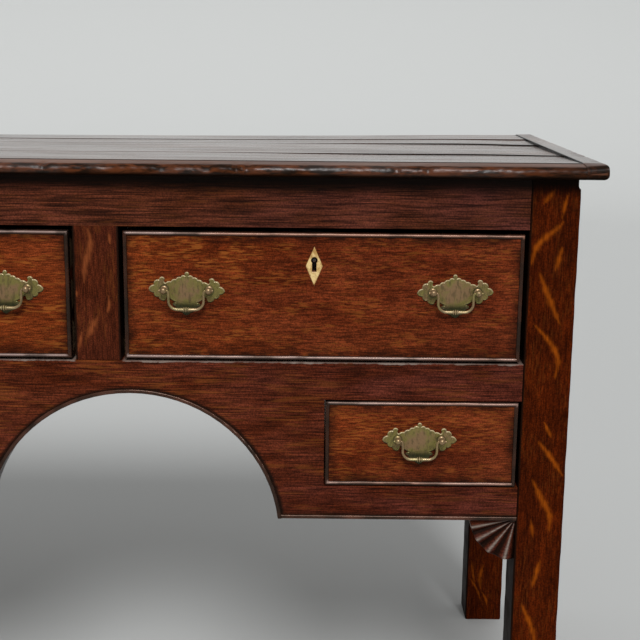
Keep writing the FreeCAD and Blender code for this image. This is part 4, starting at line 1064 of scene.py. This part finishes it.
def waxed_oak(name, along, shift, tones, fleck=0.5, shine=0.04, line=0.54, grain=1.0, rays=None, edges=None,
              handled=(), worn_edge_gleam=None, beaded=None, shaded=None):
    """Old waxed oak. Soft patches go between two tones, golden about the middle of the object and plum
    towards its ends. Lines and grit run with the grain, and orange flecks lie in clusters. grain is how long
    the lines run. Then, where they are asked for: dark wax round handles with a painted shadow below them,
    rays of quarter-cut oak with dirt beside them, which on a fan bracket are a painted highlight along its
    ridges with dirt and painted shade in its grooves, grime along a box's edges with the lower half darker
    towards the bottom, a pale worn upper edge with a painted highlight on either side of a post, wax and
    painted shade along the apron's bead, and a black painted shade at the upper end."""
    oak = Finish(name, along, shift)
    other = (shift[1] + 0.5, shift[2] + 0.3, shift[0] + 0.7)
    patch = oak.grain(13, 38, detail=3.0, distortion=0.3, shift=other)
    ground = oak.plus(oak.times(oak.grain(3, 9), 0.45), oak.times(patch, 0.55))
    oak.body = oak.mix(oak.between(ground, 0.30, 0.66), *tones)
    outer = oak.between(oak.math("ABSOLUTE", oak.axis(0)), 250 * MM, 720 * MM, 0.0, 0.4)
    plum = oak.between(oak.plus(outer, oak.grain(5, 11, detail=1.0, shift=other)), 0.35, 1.05)
    oak.tint(oak.mix(plum, OAK_GOLD, OAK_PLUM))
    # dark wax round each handle, and a painted shadow below it
    for x, z in handled:
        for half_x, half_z, below, black, dark in HANDLE_WAX_AND_SHADOW:
            away = oak.distance((1 / half_x, 0, 1 / half_z), (x, 0, z - below))
            oak.paint(oak.between(away, 0.4, 1.0, dark, 0.0), blended(black, tones[0], OAK_BLACK))
    broad = oak.grain(30 / grain, 300, detail=1.0)
    oak.tint(oak.between(broad, 0.30, 0.70, 0.84, 1.18))
    lines = oak.grain(72 / grain, 760, detail=1.0, roughness=0.6)
    oak.tint(oak.between(lines, 0.30, 0.70, 1 - 0.8 * line, 1 + line))
    grit = oak.noise((640, 640, 640), detail=0.0, shift=other)
    oak.tint(oak.between(grit, 0.25, 0.75, 0.70, 1.30))
    clusters = oak.between(oak.grain(19, 60), 0.46, 0.60)
    dashes = oak.grain(62 / grain, 500, detail=1.0, distortion=0.2, shift=other)
    flecks = oak.times(clusters, oak.between(dashes, 0.48, 0.61, 0.0, fleck))
    oak.paint(oak.times(flecks, oak.between(plum, 0.0, 1.0, 1.0, 0.45)), OAK_FLECK)
    if rays:
        # rays of the oak, and on a fan bracket its painted ridge highlight; black dirt, which in a fan's
        # grooves is also painted shade
        ray_and_gleam = oak.times(oak.attribute("ray_and_gleam"), oak.between(lines, 0.30, 0.62, 0.65, 1.0))
        oak.paint(oak.times(ray_and_gleam, oak.between(broad, 0.30, 0.60, 0.65, 1.0)), rays)
        oak.paint(oak.between(oak.attribute("dirt"), 0.3, 0.8, 0.0, 0.9), OAK_BLACK)
    if edges:
        low, high = edges
        x, z = oak.axis(0), oak.axis(2)
        gaps = [oak.math("SUBTRACT", *pair) for pair in ((x, low.x), (high.x, x), (z, low.z), (high.z, z))]
        grime = oak.between(oak.math("MINIMUM", *gaps), 0.0, EDGE_GRIME, 1.0, 0.0)
        uneven = oak.noise((60, 60, 60), detail=3.0)
        oak.paint(oak.times(grime, oak.between(uneven, 0.3, 0.6, 0.2, 0.9)), OAK_BLACK)
        # the lower half is made darker towards the bottom
        oak.paint(oak.between(z, low.z, (low.z + high.z) / 2, 0.22, 0.0), OAK_BLACK)
    # pale worn upper edge beside the muntin, partly a painted highlight
    if worn_edge_gleam:
        level, post_low, post_high = worn_edge_gleam
        x = oak.math("ABSOLUTE", oak.axis(0))
        beside = oak.math("MAXIMUM", oak.between(x, post_low, post_low - 3 * MM),
                          oak.between(x, post_high, post_high + 3 * MM))
        worn = oak.noise((17, 17, 40))
        torn = oak.noise((150, 150, 260))
        reach = oak.plus(oak.between(worn, 0.45, 0.65, 0.7 * APRON_EDGE_WEAR, 1.2 * APRON_EDGE_WEAR),
                         oak.between(torn, 0.30, 0.70, -0.25 * APRON_EDGE_WEAR, 0.25 * APRON_EDGE_WEAR))
        rim = oak.between(oak.plus(oak.axis(2), reach), level, level + 0.3 * APRON_EDGE_WEAR)
        pale = oak.times(oak.between(worn, 0.40, 0.60, 0.5, 0.95), oak.between(torn, 0.30, 0.55, 0.55, 1.0))
        oak.paint(oak.times(beside, rim, pale), OAK_WORN_EDGE_GLEAM)
    if beaded:
        # wax and painted shade on the apron beside its bead, round the arches and along the bottom
        arches = [oak.distance((1, 0, 1), (side * ARCH_X, 0, ARCH_Z)) for _, side in SIDES]
        away = oak.math("MINIMUM", *arches)
        wax_and_shade = oak.math("MAXIMUM", oak.between(away, ARCH_RADIUS, ARCH_RADIUS + ARCH_WAX_AND_SHADE, 0.9, 0.0),
                       oak.between(oak.axis(2), beaded, beaded + ARCH_WAX_AND_SHADE, 0.8, 0.0))
        oak.paint(wax_and_shade, OAK_BLACK)
    if shaded:
        shade = oak.between(oak.axis(2), shaded - TOP_SHADE, shaded - 0.2 * TOP_SHADE, 0.0, 0.95)
        oak.paint(shade, OAK_BLACK)
    height = oak.plus(oak.times(grit, 0.3), oak.times(lines, 0.7))
    polish = oak.between(oak.noise((24, 24, 24), detail=3.0), 0.3, 0.7, 0.34, 0.50)
    return oak.finished(Roughness=polish, Specular_IOR_Level=shine, Normal=oak.bump(height, 0.2 * MM))


def bead_oak(name, shift, ground, arch=None):
    """Nearly black oak of the beads, with redder patches, and a grey or reddish painted highlight where the
    mesh marks it. Between the foot and crown of an arch it is blacker, most at the foot, a painted shade with
    wax."""
    oak = Finish(name, shift=shift)
    patch = oak.noise((30, 60, 30), detail=3.0)
    oak.body = oak.mix(oak.between(patch, 0.35, 0.65), OAK_BLACK, ground)
    # painted highlight where the mesh marks it, greyer in some broad patches and redder in others
    worn_and_highlit = oak.times(oak.attribute("worn_and_highlit"), oak.between(patch, 0.36, 0.52, 0.30, 1.0))
    hue = oak.between(oak.noise((4, 4, 4), detail=1.0), 0.40, 0.60)
    oak.paint(worn_and_highlit, oak.mix(hue, *BEAD_HIGHLIGHT_TONES))
    if arch:
        # painted shade with wax on the arch's bead, blackest at its foot
        foot, crown = arch
        z = oak.axis(2)
        flank = oak.times(oak.between(z, foot, foot + ARCH_WAX_AND_SHADE), oak.between(z, foot, crown, 0.85, 0.25))
        oak.paint(flank, OAK_BLACK)
    return oak.finished(Roughness=oak.between(patch, 0.3, 0.7, 0.34, 0.20), Specular_IOR_Level=0.5,
                        Specular_Tint=BEAD_GLOSS, Normal=oak.bump(patch, 0.3 * MM))


def top_oak(name, along, shift):
    """The top's oak: brown, rubbed to a gloss that mirrors the light, with fine grain, wax in clouds and dirt
    in the joints. The worn nosing is darker, red where it is rubbed, black in its dents and towards its ends,
    and black along its underside where a shade is painted."""
    oak = Finish(name, along, shift)
    patch = oak.grain(4, 14, detail=3.0, roughness=0.6)
    streaks = oak.grain(5, 240, detail=3.0, roughness=0.6)
    fibre = oak.grain(40, 600, roughness=0.6)
    lumps = oak.grain(34, 130, detail=4.0, roughness=0.65, distortion=0.4)
    scuffs = oak.between(oak.grain(9, 40), 0.48, 0.62)
    dull = oak.grain(5, 30, detail=4.0, roughness=0.65)
    thumb = oak.between(oak.attribute("nose"), 0.02, 0.12)
    nose = oak.between(oak.attribute("nose"), 0.66, 0.88)
    dirt = oak.attribute("dirt")
    oak.body = oak.mix(oak.between(patch, 0.3, 0.7), *TOP_TONES)
    oak.paint(oak.between(streaks, 0.52, 0.36, 0.0, 0.6), TOP_STREAK)
    oak.paint(thumb, oak.mix(oak.between(patch, 0.35, 0.65), *THUMB_TONES))
    worn_and_highlit = oak.mix(oak.between(lumps, 0.40, 0.62), *NOSE_TONES)
    end = oak.between(oak.math("ABSOLUTE", oak.axis(0)), NOSE_BLACK_FROM, TOP_END_X, 0.0, 0.75)
    oak.paint(nose, oak.mix(end, worn_and_highlit, OAK_BLACK))
    # painted shade: the lower part of the nose is made black
    underside_shade = oak.times(nose, oak.between(oak.axis(2), TOP_UNDER + 1 * MM, TOP_UNDER + 6 * MM, 0.92, 0.0))
    oak.paint(underside_shade, OAK_BLACK)
    oak.paint(oak.between(dirt, 0.08, 0.35), TOP_DIRT)
    oak.paint(oak.between(dirt, 0.5, 0.95), OAK_BLACK)
    gloss = oak.plus(oak.between(dull, 0.35, 0.7, 0.12, 0.22), oak.times(thumb, 0.18))
    scuffed = oak.times(nose, oak.between(scuffs, 0.0, 1.0, -0.14, 0.12))
    shine = oak.plus(oak.between(thumb, 0.0, 1.0, 0.5, 0.2), scuffed)
    shine = oak.times(shine, oak.between(dirt, 0.1, 0.6, 1.0, 0.05), oak.between(underside_shade, 0.0, 0.9, 1.0, 0.1))
    uneven = oak.times(lumps, oak.times(nose, oak.between(scuffs, 0.0, 1.0, 0.25, 0.85)))
    height = oak.plus(oak.times(fibre, 0.06), oak.times(streaks, 0.07), uneven)
    return oak.finished(Roughness=gloss, Specular_IOR_Level=shine, Normal=oak.bump(height, 1.0 * MM))


def dry_oak(name, along, shift, tones, boards=None):
    """Unpolished oak inside and behind: dusty, with open grain and water-dark stains. Boards one above the
    other each have their own grain and darker edges."""
    oak = Finish(name, along, shift)
    if boards:
        low_z, pitch = boards
        level = oak.math("DIVIDE", oak.math("SUBTRACT", oak.axis(2), low_z), pitch)
        seam = oak.between(oak.math("PINGPONG", level, 0.5), 0.0, 0.03, 0.85, 0.0)
        step = oak.node("CombineXYZ", {0: oak.times(oak.math("FLOOR", level), 3.7)})
        oak.place = oak.node("VectorMath", {0: oak.place, 1: step})
    patch = oak.grain(3, 9, detail=4.0, roughness=0.6)
    streaks = oak.grain(6, 150, detail=3.0, roughness=0.65, distortion=0.3)
    fibre = oak.grain(40, 700)
    oak.body = oak.mix(oak.between(patch, 0.32, 0.68), *tones)
    oak.paint(oak.between(streaks, 0.5, 0.34, 0.0, 0.75), tones[0])
    oak.paint(oak.between(fibre, 0.46, 0.3, 0.0, 0.6), tones[0])
    if boards:
        oak.paint(seam, OAK_BLACK)
    height = oak.plus(oak.times(fibre, 0.5), oak.times(streaks, 0.5))
    rough = oak.between(patch, 0.3, 0.7, 0.62, 0.78)
    return oak.finished(Roughness=rough, Specular_IOR_Level=0.25, Normal=oak.bump(height, 0.5 * MM))


def old_brass(name, worn, gloss):
    """Brass under old patina: brown and olive clouds, dark streaks, black painted shade with some dirt, and
    brighter metal where it is rubbed and where a highlight is painted. worn is how bright the rubbed and
    highlit places are, and gloss how rough the smoothest places stay."""
    brass = Finish(name)
    cloud = brass.noise((75, 75, 75), detail=4.0, roughness=0.65)
    mottle = brass.noise((460, 460, 460), detail=3.0, roughness=0.65)
    streaks = brass.noise((340, 340, 110), detail=3.0, roughness=0.6)
    brown = brass.plus(cloud, brass.between(brass.attribute("brown"), 0.0, 1.0, -0.07, 0.10))
    brass.body = brass.mix(brass.between(brown, 0.36, 0.64), *BRASS_TONES)
    brass.paint(brass.between(streaks, 0.52, 0.34, 0.0, 0.6), BRASS_STREAK)
    # painted shade, with some dirt, where the black mark is set
    brass.paint(brass.between(brass.attribute("black"), 0.0, 1.0, 0.0, 0.88), BRASS_SHADE_AND_DIRT)
    bright = brass.between(mottle, 0.34, 0.58, 0.6 * worn, worn)
    brass.paint(brass.times(brass.attribute("worn_and_highlit"), bright), BRASS_BRIGHT)
    rough = brass.between(mottle, 0.3, 0.7, gloss + 0.18, gloss)
    return brass.finished(Metallic=0.55, Roughness=rough, Normal=brass.bump(mottle, 0.10 * MM))


def polished_bone():
    """Cream bone, yellower and stained in clouds, with fine darker pores."""
    bone = Finish("polished_bone")
    cloud = bone.noise((110, 110, 70), detail=3.0, roughness=0.6)
    pores = bone.noise((480, 480, 300))
    bone.body = bone.mix(bone.between(cloud, 0.38, 0.60), *BONE_TONES)
    bone.paint(bone.between(pores, 0.44, 0.30, 0.0, 0.7), BONE_PORE)
    rough = bone.between(cloud, 0.3, 0.7, 0.3, 0.42)
    return bone.finished(Roughness=rough, Normal=bone.bump(pores, 0.08 * MM))


def dull_iron():
    """Dark iron with brown rust in patches."""
    iron = Finish("dull_iron")
    rust = iron.noise((90, 90, 90), detail=4.0, roughness=0.65)
    iron.body = iron.mix(iron.between(rust, 0.45, 0.65), *IRON_TONES)
    rough = iron.between(rust, 0.4, 0.65, 0.42, 0.7)
    return iron.finished(Metallic=0.7, Roughness=rough, Normal=iron.bump(rust, 0.2 * MM))


def dress(node, material):
    """Gives a CAD node's slots a finish."""
    for material_slot in NODES[node].material_slots:
        material_slot.material = material


# Dressing the object


def build_top():
    """Four boards and two cleats."""
    board_oak = top_oak("top_oak_boards", 0, (0.3, 0.1, 0.7))
    cleat_oak = top_oak("top_oak_cleats", 1, (0.9, 0.4, 0.2))
    for node in TOP_BOARDS:
        shape, marks = top_board(node)
        name = node.replace("top_board_", "top_") + "_board"
        add_piece(name, [shape], "carcass", board_oak, [node], marks)
    for label, side in SIDES:
        node = "top_cleat_" + label
        shape, marks = top_cleat(side, CLEAT_SEED + side)
        add_piece("top_end_cleat_" + label, [shape], "carcass", cleat_oak, [node], marks)


def build_uprights():
    """Legs and muntins with their worn corners, and the fan brackets."""
    leg_oak = waxed_oak("leg_oak", 2, (0.2, 0.5, 0.1), UPRIGHT_TONES, fleck=0.12, shine=0.02, line=0.42,
                        rays=OAK_RAY, shaded=RAIL_TOP)
    muntin_oak = waxed_oak("muntin_oak", 2, (0.7, 0.1, 0.6), MUNTIN_TONES, fleck=0.12, line=0.42,
                           rays=MUNTIN_RAY)
    muntin_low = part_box("apron")[1].z
    muntin_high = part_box("top_rail")[0].z
    for number, node in enumerate(("leg_front_left", "leg_front_right", "leg_back_left", "leg_back_right")):
        low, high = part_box(node)
        seed = LEG_RAY_SEED + number
        rays = scattered_rays((high.x - low.x) / MM, low.z / MM, high.z / MM, LEG_RAY_COUNT, seed)
        chip = None
        if node == "leg_front_right":
            rays, chip = LEG_RAYS, LEG_CHIP
        seed = LEG_SEED + 5 * number
        shape, marks = upright(node, low.z, high.z, LEG_EDGE_ROUND, LEG_WEAR, rays, seed, chip)
        add_piece(node.replace("leg", "oak_leg"), [shape], "carcass", leg_oak, [node], marks)
    for label, side in SIDES:
        node = "muntin_" + label
        rays = MUNTIN_RAYS
        if side < 0:
            rays = scattered_rays(MUNTIN_RAY_SPAN, muntin_low / MM, muntin_high / MM, MUNTIN_RAY_COUNT,
                                  MUNTIN_RAY_SEED)
        shape, marks = upright(node, muntin_low, muntin_high, MUNTIN_EDGE_ROUND, MUNTIN_WEAR, rays,
                               MUNTIN_SEED + side)
        add_piece("oak_" + node, [shape], "carcass", muntin_oak, [node], marks)
    fan_oak = waxed_oak("fan_oak", 0, (0.6, 0.2, 0.4), APRON_TONES, fleck=0.2, rays=FAN_RIDGE_HIGHLIGHT)
    for label, side in SIDES:
        node = "bracket_" + label
        shape, marks = fan_bracket(side, node)
        add_piece("fan_" + node, [shape], "carcass", fan_oak, [node], marks, smooth_below=20)


def build_drawers():
    """Fronts, beads, brass and bone of each drawer."""
    plate, plate_marks = handle_plate()
    plate_brass = old_brass("plate_brass", 0.9, 0.34)
    bail_brass = old_brass("bail_brass", 0.36, 0.24)
    post_brass = old_brass("post_brass", 0.4, 0.24)
    dark_oak = bead_oak("cock_bead_oak", (0.8, 0.1, 0.3), COCK_BEAD_TONE)
    bone = polished_bone()
    for number, drawer in enumerate(DRAWERS):
        front = drawer + "_front"
        low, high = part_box(front)
        shift = (0.13 * number, 0.31 * number, 0.57 * number)
        bails = [child for child in HINGES if child.startswith(drawer + "_bail")]
        handled = [(HINGES[name][0], HINGES[name][2]) for name in bails]
        dress(front, waxed_oak(drawer + "_oak", 0, shift, FRONT_TONES, fleck=0.62, edges=(low, high),
                               handled=handled))
        bead, bead_marks = bead_frame(drawer + "_bead", BEAD_SEED + 3 * number)
        add_piece(drawer + "_cock_bead", [bead], drawer, dark_oak, [drawer + "_bead"], bead_marks)
        face_y, inner_y = low.y, high.y
        plates, posts, nuts = [], [], []
        for name in bails:
            x, pivot_y, z = HINGES[name]
            tilt = math.radians(PLATE_TILT.get(name, 0.0))
            turned = plate[0] @ np.array(((math.cos(tilt), 0, -math.sin(tilt)), (0, 1, 0),
                                          (math.sin(tilt), 0, math.cos(tilt))))
            plates.append((turned * MM + (x, face_y, z), plate[1]))
            for _, side in SIDES:
                post_x = x + side * POST_HALF_SPACING
                posts.append(lathe(post_profile(), POST_SIDES, (post_x, pivot_y + POST_BALL_OUT * MM, z)))
                nuts.extend(nut(post_x, z, inner_y))
            shape, bright = bail(HINGES[name])
            add_piece(name.replace("_bail", "_brass_bail"), [shape], name, bail_brass, [name],
                      {"worn_and_highlit": bright, "brown": np.full(bright.shape, BAIL_BROWN)})
        holder = drawer + "_handle_plates_and_posts"
        add_piece(drawer + "_plates", plates, drawer, plate_brass, [holder],
                  {mark: np.tile(numbers, len(plates)) for mark, numbers in plate_marks.items()})
        count = sum(len(points) for points, _ in posts)
        add_piece(drawer + "_posts", posts, drawer, post_brass, [holder],
                  {"worn_and_highlit": np.full(count, POST_RUBBED), "brown": np.full(count, POST_BROWN)})
        add_piece(drawer + "_nuts", nuts, drawer, bail_brass, [holder])
        if drawer in BIG_DRAWERS:
            key_low, key_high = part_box(drawer + "_escutcheon")
            points, groups = bone_diamond()
            centre = ((key_low.x + key_high.x) / 2, key_high.y, (key_low.z + key_high.z) / 2)
            add_piece(drawer + "_bone_diamond", [(points * MM + centre, groups)], drawer, bone,
                      [drawer + "_escutcheon"])


def dress_carcass():
    """Finishes on the CAD pieces that show as they are."""
    dress("top_rail", waxed_oak("rail_oak", 0, (0.4, 0.7, 0.2), RAIL_TONES, fleck=0.1, shine=0.07, line=0.75,
                                shaded=RAIL_TOP, grain=3.0))
    muntin_low, muntin_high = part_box("muntin_right")
    dress("apron", waxed_oak("apron_oak", 0, (0.7, 0.3, 0.9), APRON_TONES, fleck=0.25, shine=0.05, line=0.7,
                             worn_edge_gleam=(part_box("apron")[1].z, muntin_low.x, muntin_high.x),
                             beaded=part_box("apron")[0].z, grain=2.5))
    dress("apron_bead", bead_oak("apron_bead_oak", (0.1, 0.9, 0.5), APRON_BEAD_TONE,
                                 arch=(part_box("apron")[0].z, ARCH_Z + ARCH_RADIUS)))
    dress("end_rails", waxed_oak("end_rail_oak", 1, (0.5, 0.2, 0.8), APRON_TONES, fleck=0.25))
    dress("end_panels", waxed_oak("end_panel_oak", 1, (0.9, 0.6, 0.3), FRONT_TONES, fleck=0.4))
    low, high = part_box("back_boards")
    pitch = (high.z - low.z) / BACK_BOARD_COUNT
    dress("back_boards", dry_oak("back_board_oak", 0, (0.2, 0.2, 0.2), BACK_TONES, (low.z, pitch)))
    dress("back_rails", dry_oak("back_rail_oak", 0, (0.6, 0.1, 0.4), BACK_TONES))
    side_oak = dry_oak("bearer_oak", 1, (0.3, 0.8, 0.1), BEARER_TONES)
    for node in ["drawer_runners", "drawer_guides_and_kickers"] + [drawer + "_box" for drawer in DRAWERS]:
        dress(node, side_oak)
    iron = dull_iron()
    for drawer in BIG_DRAWERS:
        dress(drawer + "_lock", iron)
        dress(drawer + "_lock_bolt", iron)


# Stage


# Angles are in degrees, and the lens and its sensor in millimetres
COVE_RADIUS = 8.0
COVE_SWEEP = 2.5
COVE_HEIGHT = 3.2
COVE_FLAT = 2.5
COVE_SIDES = 96
FLOOR_GREY = colour(0.510, 0.520, 0.515)
LIGHT_PLACE = (0.2, -3.2, 3.6)
LIGHT_TARGET = (0.0, 0.0, 0.5)
LIGHT_STRENGTH = 2.3
LIGHT_WIDTH = 22
SKY_GREY = colour(0.80, 0.80, 0.80)
SKY_STRENGTH = 0.62
CAMERA_PLACE = (0.5398, -1.6781, 0.9254)
CAMERA_YAW, CAMERA_PITCH, CAMERA_ROLL = 0.07, 12.486, 0.601
CAMERA_LENS = 68.28
SENSOR = 36.0


def add_floor():
    """Plain pale floor that sweeps up into a round wall: a section of floor, quarter circle and wall, spun
    round the middle."""
    sweep = arc((COVE_RADIUS - COVE_SWEEP, COVE_SWEEP), COVE_SWEEP, 270, 360, 16)
    section = np.concatenate(([(COVE_FLAT, 0.0)], sweep, [(COVE_RADIUS, COVE_HEIGHT)]))
    turn = full_turn(COVE_SIDES)[:, None]
    points = as_points(section[:, 0] * np.cos(turn), section[:, 0] * np.sin(turn), section[:, 1])
    numbers = np.arange(points.shape[0] * points.shape[1]).reshape(points.shape[:2])
    around = np.vstack((numbers, numbers[:1]))
    faces = grid_quads(around)[:, ::-1].tolist() + [numbers[:, 0].tolist()]
    pale = Finish("pale_floor")
    pale.body = FLOOR_GREY
    finish = pale.finished(Roughness=0.78, Specular_IOR_Level=0.2)
    floor = placed("floor", smooth_mesh("floor", points.reshape(-1, 3), faces, finish))


def add_soft_light(name, place, target, strength, softness):
    """Broad distant light that shines from a place towards a target; softness is its width in degrees."""
    lamp = bpy.data.lights.new(name, "SUN")
    lamp.energy = strength
    lamp.angle = math.radians(softness)
    holder = placed(name, lamp)
    direction = Vector(target) - Vector(place)
    holder.matrix_world = Matrix.Translation(place) @ direction.to_track_quat("-Z", "Y").to_matrix().to_4x4()


def add_sky():
    """Pale even surround."""
    world = bpy.data.worlds.new("surround")
    bpy.context.scene.world = world
    world.use_nodes = True
    background = world.node_tree.nodes["Background"]
    background.inputs["Color"].default_value = SKY_GREY
    background.inputs["Strength"].default_value = SKY_STRENGTH


def add_camera():
    """Camera at the photograph's viewing angle."""
    yaw, pitch, roll = (math.radians(angle) for angle in (CAMERA_YAW, CAMERA_PITCH, CAMERA_ROLL))
    ahead = Vector((math.sin(yaw) * math.cos(pitch), math.cos(yaw) * math.cos(pitch), -math.sin(pitch)))
    right = Vector((math.cos(yaw), -math.sin(yaw), 0))
    down = ahead.cross(right)
    level = math.cos(roll) * right - math.sin(roll) * down
    rolled_down = math.sin(roll) * right + math.cos(roll) * down
    lens = bpy.data.cameras.new("camera")
    lens.lens = CAMERA_LENS
    lens.sensor_width = SENSOR
    camera = placed("camera", lens)
    turned = Matrix((level, -rolled_down, -ahead)).transposed().to_4x4()
    turned.translation = Vector(CAMERA_PLACE)
    camera.matrix_world = turned
    bpy.context.scene.camera = camera


build_top()
build_uprights()
build_drawers()
dress_carcass()
add_floor()
add_soft_light("front_light", LIGHT_PLACE, LIGHT_TARGET, LIGHT_STRENGTH, LIGHT_WIDTH)
add_sky()
add_camera()
bpy.context.scene.view_settings.view_transform = "Standard"
